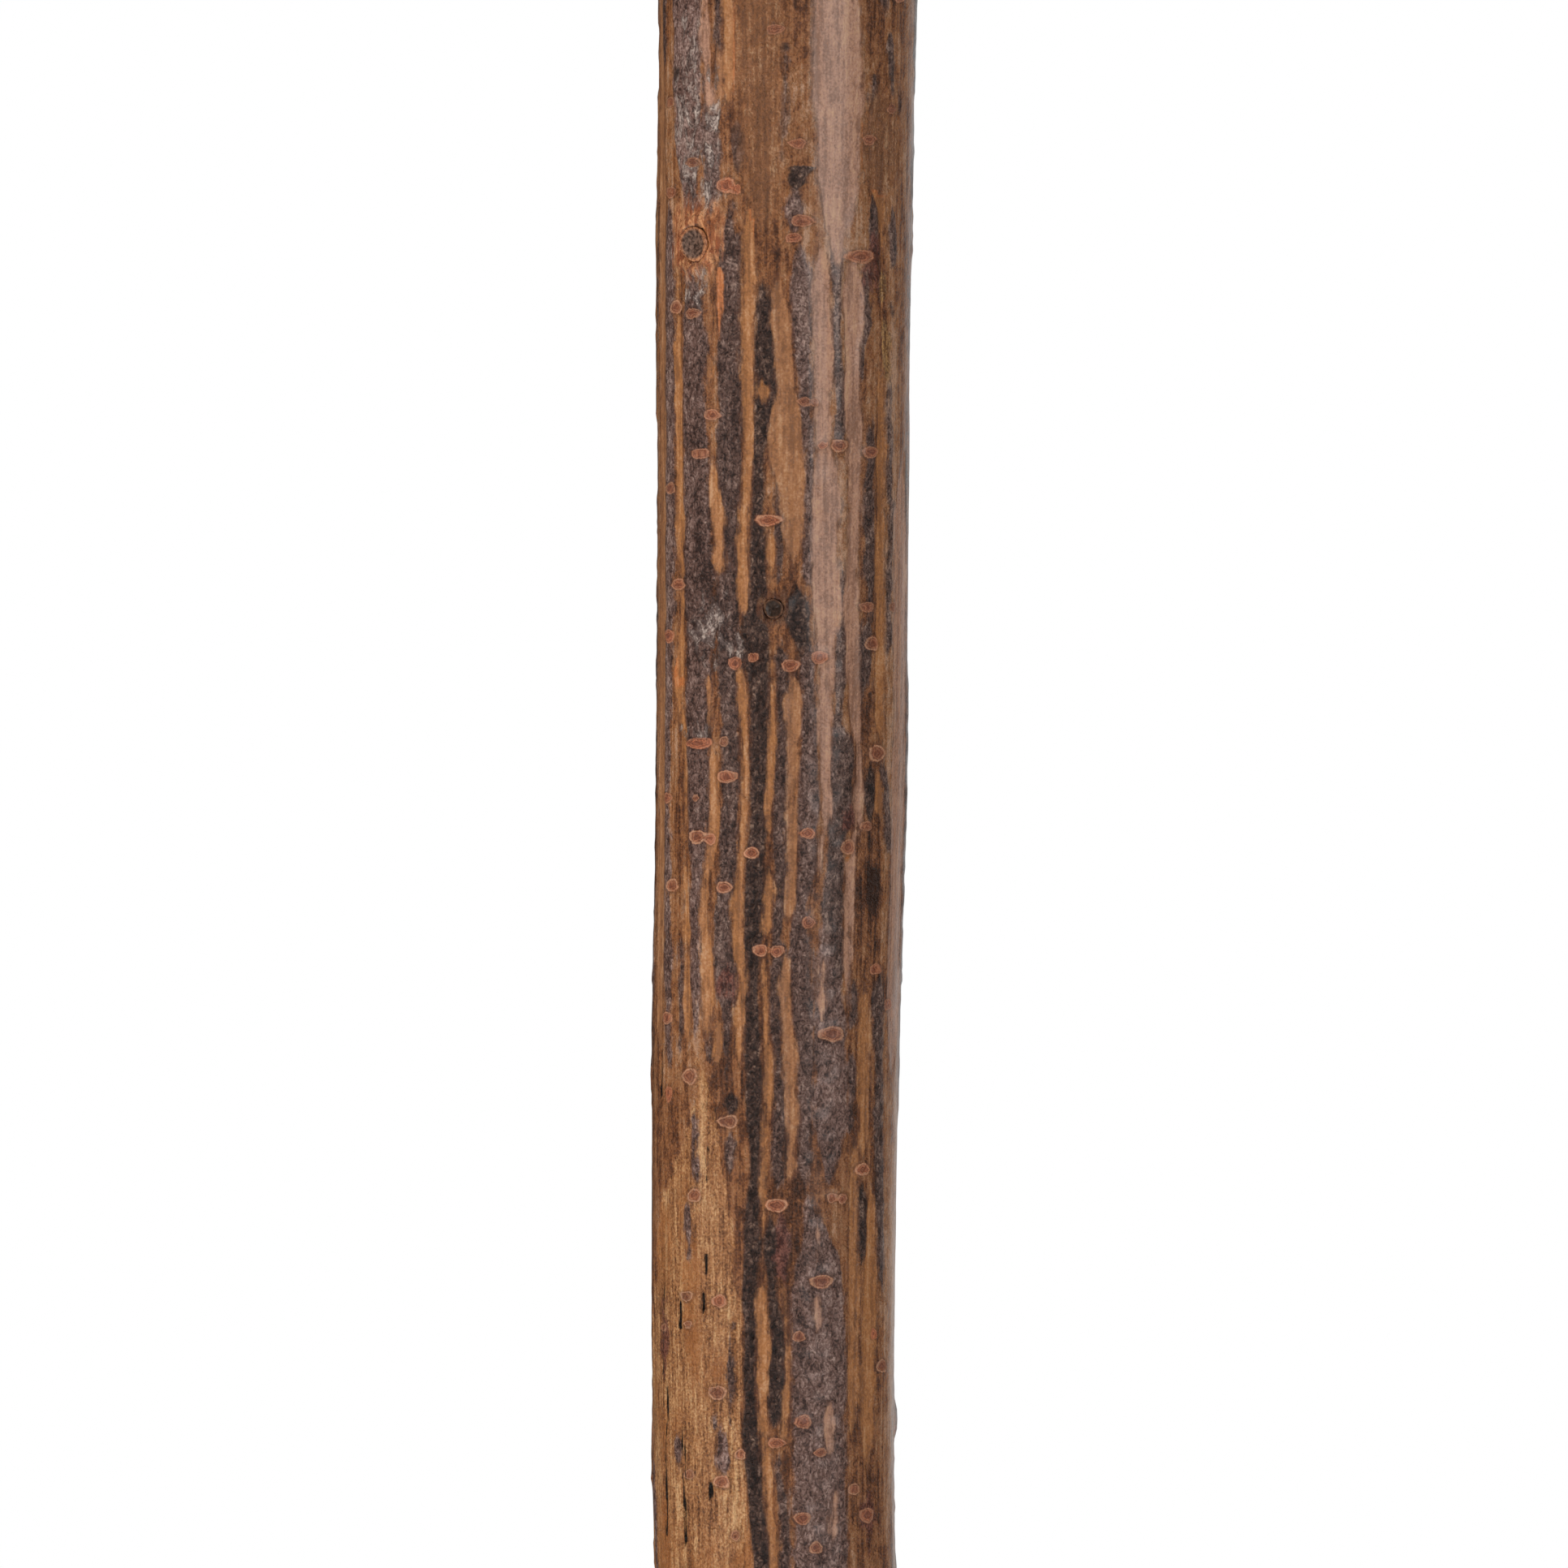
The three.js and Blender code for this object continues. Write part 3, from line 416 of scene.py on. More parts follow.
# The root, as chains of spheres from the crown's foot: x, y, height, radius
NECK_RADIUS = 14.9
GRIP_CHAIN = [
    (0, 0, -14, NECK_RADIUS), (0, 0, 4, NECK_RADIUS), (-0.5, 0.4, 22, 17.2),
    (-1, 0.8, 40, 19.6), (3, 0.8, 56, 19.8), (15, 1.8, 69, 17.8), (34, 2, 77, 16),
    (54, 0.2, 79, 14.9), (72, -1.8, 76.5, 15.3), (86, -2.6, 70.5, 14),
]
SAWN_CHAINS = [
    [(-1, 0.5, 54, 18), (-16, 1.6, 63, 14.4), (-29, 2.4, 69.5, 12.4)],
    [(1, 7, 45, 14), (3.5, 20, 41, 8.2), (4.5, 26.5, 39.5, 7.2)],
    [(4, -8, 56, 12), (9, -19, 54, 7.2), (11, -24.5, 53.2, 6.2)],
    [(-6, -5, 30, 12), (-15, -12, 25, 6.6), (-19, -15.5, 23.4, 5.6)],
    [(-2, 4, 58, 14), (-7, 13, 69, 7.4), (-9.5, 17.5, 74.5, 6.4)],
    [(50, -4, 76, 11), (53, -13, 70, 5), (54, -16, 68, 4.3)],
]
ROOT_BLEND = 9.0
ROOT_VOXEL = 0.95
SAWN_ROUNDING = 1.3
NECK_FILLET = (-2.6, 5.2)
NECK_BOTTOM = -18.0
FLUTE_LAYERS = [(0.55, (7, 7, 60)), (0.28, (3.2, 3.2, 34))]
LUMP_LAYERS = [(0.5, 12.0), (0.2, 5.0)]
SAW_MARK_LAYERS = [(0.05, 0.9)]

# A saw cut lets go between these distances from its middle, in radii of the rootlet. The lifts
# are how steeply the cuts and the trim of the neck let go
CUT_REACH = (1.6, 2.2)
CUT_LIFT = 40.0
NECK_LIFT = 200.0

# Trimmed hair roots: how many, from which height above the crown's foot, and their radii
PIT_COUNT = 26
PIT_LOWEST = 12
PIT_RADII = (0.9, 2.1)

# The shaft's wood, and the cut ends of the trimmed twigs, a little wider than their holes
CORE_SIDES = 64
CORE_TOP_GAP = 0.4
END_CHAMFER = 0.7
KNOT_RIM = 0.92
KNOT_RINGS = [0.25, 0.5, 0.75, KNOT_RIM, 1.0, 1.0, 1.0]
KNOT_SIDES = 28
KNOT_DEPTH = 1.5
KNOT_TIGHTNESS = 1.03

# The CAD faces that are cut ends of twigs: area, how far they stand out and how squarely
KNOT_AREA = (2, 25)
KNOT_PROUD = (0.35, 0.65)
KNOT_FACING = 0.98

# The wood's fields away from cuts, creases and twigs
PLAIN_WOOD = {"hollow": 0, "crease": 0, "pit": 9, "sawn": 9, "on_cut": 0, "weathered": 0, "collar": 0}

# Ferrule
FERRULE_SIDES = 120
CORNER_ROUNDING = 0.45
CORNER_STEPS = 4

# Stage: the floor's radius and glow, the world's plain light, and the backdrop that gloss sees:
# where it lies, the cosines at its edge and its middle, and how bright it is at each
FLOOR_RADIUS = 1.6
FLOOR_LIFT = 0.24
WORLD_LEVEL = 0.5
BACKDROP_DIRECTION = (0.34, 0.94, 0.0)
BACKDROP_EDGES = (0.93, 1.0)
BACKDROP_LEVELS = (0.02, 0.55)

# Lamps: name, degrees round from the seen side, distance, height, width, upright size, watts, and
# which light they give
LAMPS = [
    ("key", 44, 1.5, 1.25, 0.8, 1.5, 7.5, "both"),
    ("sheen", 44, 1.5, 1.25, 0.8, 1.5, 5.0, "gloss"),
    ("fill", -60, 1.6, 0.6, 1.1, 1.7, 20.0, "diffuse"),
    ("back", 165, 1.8, 0.8, 1.2, 1.4, 6.0, "diffuse"),
]

# Sockets of a colour mix node
MIX_A, MIX_B, MIX_RESULT = 6, 7, 2

# Seeded random numbers
NOISE_SEED, BARK_SEED, ROOT_SEED, KNOT_SEED = 11, 5, 23, 31
NOISE_CELLS = 32
noise_table = np.random.default_rng(NOISE_SEED).uniform(-1, 1, (NOISE_CELLS,) * 3)


def smooth(value, low, high):
    """0 below low, 1 above high, and a soft slope between."""
    t = np.clip((value - low) / (high - low), 0, 1)
    return t * t * (3 - 2 * t)


def bell(value, middle, width):
    """1 at the middle, and falling off to both sides over about the width."""
    return np.exp(-(((value - middle) / width) ** 2))


def wrapped(angle):
    """The same angle, at most half a turn to either side."""
    return (angle + math.pi) % TURN - math.pi


def even_angles(count):
    """Angles evenly round a turn."""
    return np.arange(count) / count * TURN


def cloud(points, cell):
    """Smooth noise from -1 to 1 at 3D points. cell is the size of its lumps, one or three numbers."""
    q = points / np.asarray(cell, float) + 1000.0
    low = np.floor(q).astype(int)
    t = smooth(q - low, 0, 1)
    total = np.zeros(q.shape[:-1])
    for corner in itertools.product((0, 1), repeat=3):
        weight = np.prod(np.where(corner, t, 1 - t), axis=-1)
        x, y, z = np.moveaxis((low + corner) % NOISE_CELLS, -1, 0)
        total += weight * noise_table[x, y, z]
    return total


def clouds(points, layers):
    """Layers of smooth noise, each with its height and the size of its lumps."""
    return sum(height * cloud(points, cell) for height, cell in layers)


def mesh_points(mesh):
    """A mesh's vertices, in millimetres."""
    points = np.empty(len(mesh.vertices) * 3, np.float32)
    mesh.vertices.foreach_get("co", points)
    return points.reshape(-1, 3).astype(float) / MM


# The shaft's middle and section, read from the rings of the CAD bark

def read_rings():
    """Levels, middles and the Fourier terms of the outer radius of the CAD bark's rings."""
    points = mesh_points(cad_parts["shaft_bark"].data)
    heights = np.round(points[:, 2], 2)
    levels, counts = np.unique(heights, return_counts=True)
    levels = levels[counts >= FULL_RING]
    middles = []
    terms = []
    for level in levels:
        ring = points[heights == level][:, :2]
        middle = (ring.min(0) + ring.max(0)) / 2
        for _ in range(3):
            offset = ring - middle
            angle = np.arctan2(offset[:, 0], -offset[:, 1])
            radius = np.hypot(offset[:, 0], offset[:, 1])
            outer = np.empty((RING_SIDES, 3))
            for k, corner in enumerate(even_angles(RING_SIDES)):
                near = np.where(np.abs(wrapped(angle - corner)) < CORNER_WINDOW)[0]
                best = near[np.argmax(radius[near])]
                outer[k] = (ring[best, 0], ring[best, 1], radius[best])
            middle = outer[:, :2].mean(0)
        wave = np.fft.rfft(outer[:, 2])[:HARMONICS] / RING_SIDES
        wave[1:] *= 2
        middles.append(middle)
        terms.append(wave)
    return levels, np.array(middles), np.array(terms)


ring_levels, ring_middles, ring_terms = read_rings()
BARK_LOW = float(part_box("shaft_bark")[0].z) / MM
BARK_FOOT, TIP_TOP, GROWN_FOOT = ring_levels[:3]
BARK_TOP = ring_levels[-1]
CROWN_FOOT = BARK_TOP + WOOD_GAP


def shaft_middle(z):
    """The shaft's middle at heights z, on a smooth line through the middles of the rings."""
    z = np.asarray(z, float)
    slopes = np.gradient(ring_middles, ring_levels, axis=0)
    i = np.clip(np.searchsorted(ring_levels, z) - 1, 0, len(ring_levels) - 2)
    span = (ring_levels[i + 1] - ring_levels[i])[..., None]
    t = (np.clip(z, ring_levels[0], ring_levels[-1]) - ring_levels[i])[..., None] / span
    a = ring_middles[i] * (2 * t**3 - 3 * t**2 + 1)
    b = slopes[i] * span * (t**3 - 2 * t**2 + t)
    c = ring_middles[i + 1] * (3 * t**2 - 2 * t**3)
    d = slopes[i + 1] * span * (t**3 - t**2)
    return a + b + c + d


def shaft_radius(z, angle):
    """Radius over the bark. z is a column of heights and angle a row of angles, or both are equal."""
    total = 0
    for k in range(HARMONICS):
        real = np.interp(z, ring_levels, ring_terms[:, k].real)
        imaginary = np.interp(z, ring_levels, ring_terms[:, k].imag)
        total = total + real * np.cos(k * angle) - imaginary * np.sin(k * angle)
    return total


def shaft_rings(levels, radius, angle, heights=None):
    """Points round the shaft's middle: a row for each level and a column for each angle."""
    middle = shaft_middle(levels)
    if heights is None:
        heights = np.broadcast_to(levels[:, None], radius.shape)
    x = middle[:, :1] + radius * np.sin(angle)
    y = middle[:, 1:] - radius * np.cos(angle)
    return np.stack([x, y, heights], axis=-1)


def seen_place(column, row):
    """Angle round the shaft and height of what the photograph shows at a column and a row."""
    across = (np.asarray(column, float) - PHOTO_MIDDLE) / PIXELS_PER_MM
    up = (PHOTO_MIDDLE - np.asarray(row, float)) / PIXELS_PER_MM
    nearer = np.full(across.shape, FIRST_NEARER)
    for _ in range(3):
        shrink = 1 - nearer / CAMERA_DISTANCE
        z = PHOTO_HEIGHT + up * shrink
        middle = shaft_middle(z)
        radius = shaft_radius(z, 0.0)
        sine = np.clip((across * shrink - middle[..., 0]) / radius, -EDGE_SINE, EDGE_SINE)
        angle = np.arcsin(sine)
        nearer = radius * np.cos(angle) - middle[..., 1]
    return angle, z


def seen_oval(column, row, width, height, least_cosine=0.0):
    """Angle, height above ground and real sizes of an oval in the photograph."""
    angle, z = (float(v) for v in seen_place(column, row))
    across = width / PIXELS_PER_MM / max(math.cos(angle), least_cosine)
    return angle, z, across, height / PIXELS_PER_MM


# What grows on the bark

def shaft_rows():
    """Heights of the bark's rings: close together where the photograph is seen."""
    tip = np.linspace(BARK_FOOT, TIP_TOP, TIP_ROWS)
    low = np.arange(GROWN_FOOT, SEEN_LOW, PLAIN_ROW_STEP)
    seen = np.arange(SEEN_LOW, SEEN_HIGH, SEEN_ROW_STEP)
    high_count = int((BARK_TOP - SEEN_HIGH) / PLAIN_ROW_STEP)
    high = np.linspace(SEEN_HIGH, BARK_TOP, high_count)
    return np.concatenate([tip, low, seen, high])


def shaft_columns():
    """Angles of the bark's columns, closer together on the seen side."""
    share = np.arange(SHAFT_COLUMNS) / SHAFT_COLUMNS
    return TURN * share - FRONT_CROWDING * np.sin(TURN * share)


class BarkFields:
    """What grows where on the bark, as one number per vertex: rows of rings by columns round them."""

    def __init__(self):
        self.z = shaft_rows()
        self.angle = shaft_columns()
        self.rows = self.z[:, None]
        self.columns = wrapped(self.angle)[None, :]
        self.radius = shaft_radius(self.rows, self.angle[None, :])
        self.relief = np.zeros(self.radius.shape)
        self.fields = {}
        self.points = shaft_rings(self.z, self.radius, self.angle)

    def field(self, name):
        """The named field, made when it is first asked for."""
        start = float(FIELD_START.get(name, 0))
        return self.fields.setdefault(name, np.full(self.radius.shape, start))

    def near(self, low, high):
        """The slice of rows between two heights."""
        return slice(np.searchsorted(self.z, low), np.searchsorted(self.z, high))

    def apart(self, angle, z, width, height, rows=slice(None)):
        """How far across and up each vertex lies from a place, in widths and heights."""
        across = wrapped(self.columns - angle) * self.radius[rows] / width
        return across, (self.rows[rows] - z) / height

    def add_strip(self, name, tone, line, widest):
        """A strip with its tone: the distance inside its edge, in millimetres.

        line is heights, angles and half widths, and widest the half width that its ends go by.
        """
        heights, middles, halves = line
        field = self.field(name)
        tones = self.field(name + "_tone")
        rows = self.near(heights[0], heights[-1])
        z = self.z[rows]
        middle = np.interp(z, heights, middles)[:, None]
        half = np.interp(z, heights, halves)[:, None] + WIDENING[name]
        away = np.abs(wrapped(self.columns - middle)) * self.radius[rows]
        ends = np.minimum(z - heights[0], heights[-1] - z)[:, None]
        tails = min(TAIL_WIDTHS * widest, TAIL_SHARE * (heights[-1] - heights[0]))
        pointed = np.clip(ends / tails, 0, 1) ** TAIL_POWER
        inside = half * pointed - away - TAIL_FADE * (1 - pointed)
        better = inside > field[rows]
        field[rows] = np.where(better, inside, field[rows])
        tones[rows] = np.where(better, tone, tones[rows])

    def add_seen_strip(self, name, tone, edges, rng):
        """A strip listed in the photograph. It runs on where the photograph's frame cuts it off."""
        row, left, right = np.array(edges, float).T
        left_angle, left_z = seen_place(left, row)
        right_angle, right_z = seen_place(right, row)
        z = (left_z + right_z) / 2
        half = (right_angle - left_angle) / 2 * shaft_radius(z, 0.0)
        line = np.stack([z, (left_angle + right_angle) / 2, half], axis=1)[::-1]
        drift = rng.uniform(-0.08, 0.08)
        reach = rng.uniform(25, 80)
        if row[0] <= FRAME_EDGE_PIXELS:
            line = np.vstack([line, (line[-1, 0] + reach, line[-1, 1] + drift, THIN_END)])
        if row[-1] >= PHOTO_PIXELS - FRAME_EDGE_PIXELS:
            line = np.vstack([(line[0, 0] - reach, line[0, 1] + drift, THIN_END), line])
        self.add_strip(name, tone, line.T, float(line[:, 2].max()))

    def add_hidden_strips(self, name, count, widest, top_tone, rng):
        """Seeded strips like those in the photograph, for the bark that it doesn't show."""
        shortest, longer = HIDDEN_LENGTHS
        share = np.linspace(0, 1, HIDDEN_POINTS)
        for _ in range(count):
            length = shortest + longer * rng.uniform() ** 2
            low = rng.uniform(GROWN_FOOT - 10, BARK_TOP)
            start = rng.uniform(-math.pi, math.pi)
            drift = rng.uniform(-0.05, 0.05)
            middles = start + drift * share + rng.uniform(-0.02, 0.02, HIDDEN_POINTS)
            halves = widest * rng.uniform(0.3, 1) * rng.uniform(0.65, 1.2, HIDDEN_POINTS)
            tone = top_tone * rng.uniform()
            in_height = low + length > PHOTO_LOW and low < PHOTO_HIGH
            if in_height and abs(start) < SEEN_ANGLE:
                continue
            self.add_strip(name, tone, (low + length * share, middles, halves), widest)

    def add_lenticel(self, angle, z, width, height, tone, rim, phase):
        """An oval pore lying across the shaft: raised, often with a paler raised rim."""
        rows = self.near(z - 1.6 * height, z + 1.6 * height)
        across, up = self.apart(angle, z, width / 2, height / 2, rows)
        around = np.arctan2(up, across)
        distance = np.hypot(across, up) * (1 + 0.08 * np.sin(3 * around + phase))
        inside = 1 - distance
        near = (distance < 2.2) & (inside > self.field("lens")[rows])
        for name, value in (("lens", inside), ("lens_tone", tone), ("lens_rim", rim)):
            field = self.field(name)
            field[rows] = np.where(near, value, field[rows])
        dome = 0.1 * np.clip(1 - distance**2, 0, 1) ** 0.7
        ring = (0.02 + 0.07 * rim) * bell(distance, 0.92, 0.2)
        self.relief[rows] += dome + ring - 0.1 * rim * bell(distance, 0, 0.5)

    def add_hidden_lenticels(self, rng):
        """Lenticels as thick on the ground as in the photograph, on the bark that it doesn't show."""
        area = TURN * float(np.mean(self.radius)) * (BARK_TOP - GROWN_FOOT)
        for _ in range(int(area / LENTICEL_AREA)):
            angle = rng.uniform(-math.pi, math.pi)
            z = rng.uniform(GROWN_FOOT + 3, BARK_TOP - 8)
            width = rng.uniform(1.3, 2.7)
            height = rng.uniform(1.0, 1.5)
            tone = rng.uniform(0.3, 1)
            rim = rng.uniform(0.2, 1)
            phase = rng.uniform(0, TURN)
            if PHOTO_LOW < z < PHOTO_HIGH and abs(angle) < LENTICEL_SEEN_ANGLE:
                continue
            self.add_lenticel(angle, z, width, height, tone, rim, phase)

    def add_patch(self, name, angle, z, width, height):
        """An oval patch of a kind of bark: 1 in its middle and 0 at its edge."""
        patch = self.field(name)
        patch[:] = np.maximum(patch, 1 - np.hypot(*self.apart(angle, z, width, height)))

    def add_tone_and_sheen(self, angle, z, width, height, light):
        """A soft oval where the bark is painted lighter or darker: its own tone, and in places sheen and
        rim light.
        """
        tone_and_sheen_field = self.field("light")
        across, up = self.apart(angle, z, width, height)
        tone_and_sheen_field += light * np.exp(-((across**2 + up**2) ** 1.5))

    def add_knot(self, angle, z, radius, orange):
        """Bark round a trimmed twig: a swollen torn collar, and a hole for the twig's wood."""
        knot = self.field("knot")
        collar_tone = self.field("knot_tone")
        across, up = self.apart(angle, z, radius, radius)
        around = np.arctan2(up, across)
        ragged = 1 + 0.1 * np.sin(2 * around + z) + 0.07 * np.sin(5 * around + 2 * z)
        distance = np.hypot(across, up)
        collar_tone[:] = np.where(distance < 3, orange, collar_tone)
        reach = 1.4 - 0.45 * orange - 0.38 * smooth(up / np.maximum(distance, 0.1), 0.1, 0.9)
        knot[:] = np.minimum(knot, 1 + (distance - 1) * reach)
        swell = 0.22 * bell(np.maximum(distance * ragged - 1.2, 0), 0, 0.9)
        torn = (0.1 + 0.22 * orange) * bell(distance * ragged, 1.4, 0.26)
        self.relief += np.where(distance < 4, swell + torn, 0)
        hole = 1 - smooth(distance, 0.7, 0.98)
        self.relief[:] = self.relief * (1 - hole) - (BARK_THICKNESS - 0.12) * hole


def read_knots():
    """Trimmed twigs, from the flat cut faces that stand just proud of the CAD bark."""
    groups = {}
    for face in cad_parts["cane_wood"].data.polygons:
        key = tuple(round(c * 100) for c in face.normal)
        key += (round(face.normal.dot(face.center) / MM * 5),)
        groups.setdefault(key, []).append((face.area / MM**2, np.array(face.center) / MM))
    knots = []
    for key, faces in groups.items():
        area = sum(a for a, _ in faces)
        centre = sum(a * c for a, c in faces) / area
        out = centre[:2] - shaft_middle(centre[2])
        angle = math.atan2(out[0], -out[1])
        proud = math.hypot(*out) - float(shaft_radius(centre[2], angle))
        facing = key[0] / 100 * math.sin(angle) - key[1] / 100 * math.cos(angle)
        sized = KNOT_AREA[0] < area < KNOT_AREA[1] and KNOT_PROUD[0] < proud < KNOT_PROUD[1]
        if sized and facing > KNOT_FACING and centre[2] < BARK_TOP:
            knots.append((angle, centre[2], math.sqrt(area / math.pi), proud))
    return sorted(knots, key=lambda knot: knot[1])


KNOTS = read_knots()


def collar_at(angle, z):
    """How orange the torn collar of the trimmed twig at that place is, and how far it spreads."""
    for column, row, tone, spread in SEEN_COLLARS:
        seen_angle, seen_z = seen_place(column, row)
        if math.hypot(z - seen_z, MID_RADIUS * wrapped(angle - seen_angle)) < COLLAR_SEARCH:
            return tone, spread
    return PLAIN_COLLAR


def raise_bark(bark):
    """Ragged edges for the strips, and relief for the strips, pebbles and swellings."""
    ragged = clouds(bark.points, RAGGED_LAYERS)
    for name in ("tan", "dark", "bare"):
        bark.fields[name] += ragged
    raised = smooth(bark.fields["dark"], -0.25, 0.35)
    sunk = smooth(bark.fields["tan"], -0.2, 0.35)
    pebbles = clouds(bark.points, PEBBLE_LAYERS)
    bark.relief += STRIP_RISE * raised * (1 + 0.5 * pebbles) - STRIP_DIP * sunk
    bark.relief += PEBBLE_RISE * pebbles * (1 - sunk)
    bark.relief += clouds(bark.points, SWELLING_LAYERS)
    bark.relief -= BARE_DIP * smooth(bark.fields["bare"], -0.3, 0.4)
    bark.relief -= CRACK_DIP * smooth(bark.fields["crack"], -0.12, 0.06)


def grow_bark():
    """All the bark's fields and its relief."""
    bark = BarkFields()
    rng = np.random.default_rng(BARK_SEED)
    for name, strips in (("tan", TAN_STRIPS), ("dark", DARK_STRIPS)):
        for tone, *edges in strips:
            bark.add_seen_strip(name, tone, edges, rng)
    for name, strips in (("bare", BARE_AREAS), ("crack", CRACKS)):
        for edges in strips:
            bark.add_seen_strip(name, 1, edges, rng)
    for strips in HIDDEN_STRIPS:
        bark.add_hidden_strips(*strips, rng)
    raise_bark(bark)

    for *oval, tone, rim in LENTICELS:
        bark.add_lenticel(*seen_oval(*oval, LEAST_COSINE), tone, rim, rng.uniform(0, TURN))
    bark.add_hidden_lenticels(rng)
    for name, patches in PATCHES.items():
        for oval in patches:
            bark.add_patch(name, *seen_oval(*oval))
    # Painted sheen and rim light, together with the bark's own lighter and darker tone
    for *oval, light in TONES_AND_SHEEN:
        bark.add_tone_and_sheen(*seen_oval(*oval), light)
    for angle, z, radius, _ in KNOTS:
        orange, spread = collar_at(angle, z)
        bark.add_knot(angle, z, radius * spread / KNOT_TIGHTNESS, orange)

    pared = 1 - smooth(bark.rows, TIP_TOP - 0.5, TIP_TOP + 3.5)
    bark.relief *= 1 - pared
    bark.fields["bare"] = np.maximum(bark.fields["bare"], 2 * pared - 1.4)
    return bark


# Meshes

def mesh_object(name, points, faces, fields):
    """A Blender object from points in millimetres, with one float attribute for each field."""
    mesh = bpy.data.meshes.new(name)
    mesh.from_pydata((np.asarray(points) * MM).tolist(), [], faces)
    mesh.update()
    for field, values in fields.items():
        attribute = mesh.attributes.new(field, "FLOAT", "POINT")
        attribute.data.foreach_set("value", np.asarray(values, np.float32).ravel())
    mesh.polygons.foreach_set("use_smooth", np.ones(len(mesh.polygons), bool))
    made = bpy.data.objects.new(name, mesh)
    bpy.context.scene.collection.objects.link(made)
    return made


def band_faces(first, second, count):
    """Quads between two rings of equal count, given the index of each ring's first point."""
    return [
        (first + i, first + (i + 1) % count, second + (i + 1) % count, second + i)
        for i in range(count)
    ]


def turned_faces(rings, count):
    """Quads between stacked rings, and a fan at each end round one of two points that follow them."""
    faces = []
    for i in range(rings - 1):
        faces += band_faces(i * count, (i + 1) * count, count)
    foot = rings * count
    last = foot - count
    for i in range(count):
        following = (i + 1) % count
        faces.append((foot, following, i))
        faces.append((foot + 1, last + i, last + following))
    return faces


def make_bark(bark):
    """The bark sleeve, with its relief outside and a plain wall inside."""
    count = SHAFT_COLUMNS
    z = np.broadcast_to(bark.rows, bark.radius.shape).copy()
    around = np.stack([np.sin(bark.angle), np.cos(bark.angle), np.zeros(count)], axis=-1)
    around *= EDGE_CIRCLE
    torn = EDGE_WAVE * np.clip(0.55 + clouds(around, EDGE_LAYERS), 0.05, 1.2)
    near_top = np.clip((z - (BARK_TOP - EDGE_DEPTH)) / EDGE_DEPTH, 0, 1)
    z -= torn * near_top**2
    radius = bark.radius + bark.relief - EDGE_THINNING * smooth(near_top, 0.8, 1.0)
    outer = shaft_rings(bark.z, radius, bark.angle, z)

    levels = np.concatenate([[BARK_LOW], ring_levels])[::-1]
    radius = shaft_radius(levels[:, None], bark.angle[None, :]) - BARK_THICKNESS
    heights = np.broadcast_to(levels[:, None], radius.shape).copy()
    heights[0] -= torn
    inner = shaft_rings(levels, radius, bark.angle, heights)

    points = np.concatenate([outer, inner]).reshape(-1, 3)
    faces = []
    starts = list(range(0, len(points), count))
    for first, second in zip(starts, starts[1:] + starts[:1]):
        faces += band_faces(first, second, count)
    fields = {}
    for name, values in bark.fields.items():
        inside = float(FIELD_INSIDE.get(name, -1))
        fields[name] = np.append(values, np.full(inner.shape[:2], inside))
    return mesh_object("shaft_bark_grown", points, faces, fields)


# Root wood

def chain_distance(points, chain):
    """Distance to a chain of spheres, the share along it and the point on its line."""
    best = np.full(len(points), np.inf)
    along = np.zeros(len(points))
    foot = np.zeros((len(points), 3))
    heading = np.zeros((len(points), 3))
    run = 0.0
    for start, end in zip(chain, chain[1:]):
        a = np.array(start[:3], float)
        ab = np.array(end[:3], float) - a
        length = np.linalg.norm(ab)
        t = np.clip((points - a) @ ab / length**2, 0, 1)
        on_line = a + t[:, None] * ab
        distance = np.linalg.norm(points - on_line, axis=1) - (start[3] + (end[3] - start[3]) * t)
        closer = distance < best
        best = np.where(closer, distance, best)
        along = np.where(closer, run + t * length, along)
        foot = np.where(closer[:, None], on_line, foot)
        heading = np.where(closer[:, None], ab / length, heading)
        run += length
    return best, along, foot, heading


def soft_min(a, b, width):
    """The lower of two distances, with a soft change from one to the other."""
    h = np.maximum(width - np.abs(a - b), 0) / width
    return np.minimum(a, b) - h * h * width / 4


def soft_max(a, b, width):
    """The higher of two distances, with a soft change from one to the other."""
    return -soft_min(-a, -b, width)


def past_cut(points, chain):
    """How far points lie past a rootlet's sawn end, and aside from its middle in its radii."""
    end = np.array(chain[-1][:3], float)
    before = np.array(chain[-2][:3], float)
    normal = (end - before) / np.linalg.norm(end - before)
    offset = points - end
    past = offset @ normal
    return past, np.linalg.norm(offset - past[:, None] * normal, axis=1) / chain[-1][3]


def root_distance(points):
    """Distance to the root's surface, for points measured from the crown's foot."""
    total = chain_distance(points, GRIP_CHAIN)[0]
    for chain in SAWN_CHAINS:
        total = soft_min(total, chain_distance(points, chain)[0], ROOT_BLEND)
    for chain in SAWN_CHAINS:
        past, aside = past_cut(points, chain)
        total = soft_max(total, past - CUT_LIFT * smooth(aside, *CUT_REACH), SAWN_ROUNDING)
    neck_middle = shaft_middle(CROWN_FOOT + points[:, 2])
    out = np.hypot(points[:, 0] - neck_middle[:, 0], points[:, 1] - neck_middle[:, 1])
    rise = smooth(points[:, 2], *NECK_FILLET)
    wall = NECK_RADIUS - CROWN_STEP - WOOD_INSET + (CROWN_STEP + WOOD_INSET) * rise
    free = smooth(points[:, 2], NECK_FILLET[1] - 0.5, NECK_FILLET[1] + 12)
    trim = out - wall - NECK_LIFT * free
    total = np.maximum(total, trim)
    return np.maximum(total, NECK_BOTTOM - points[:, 2])


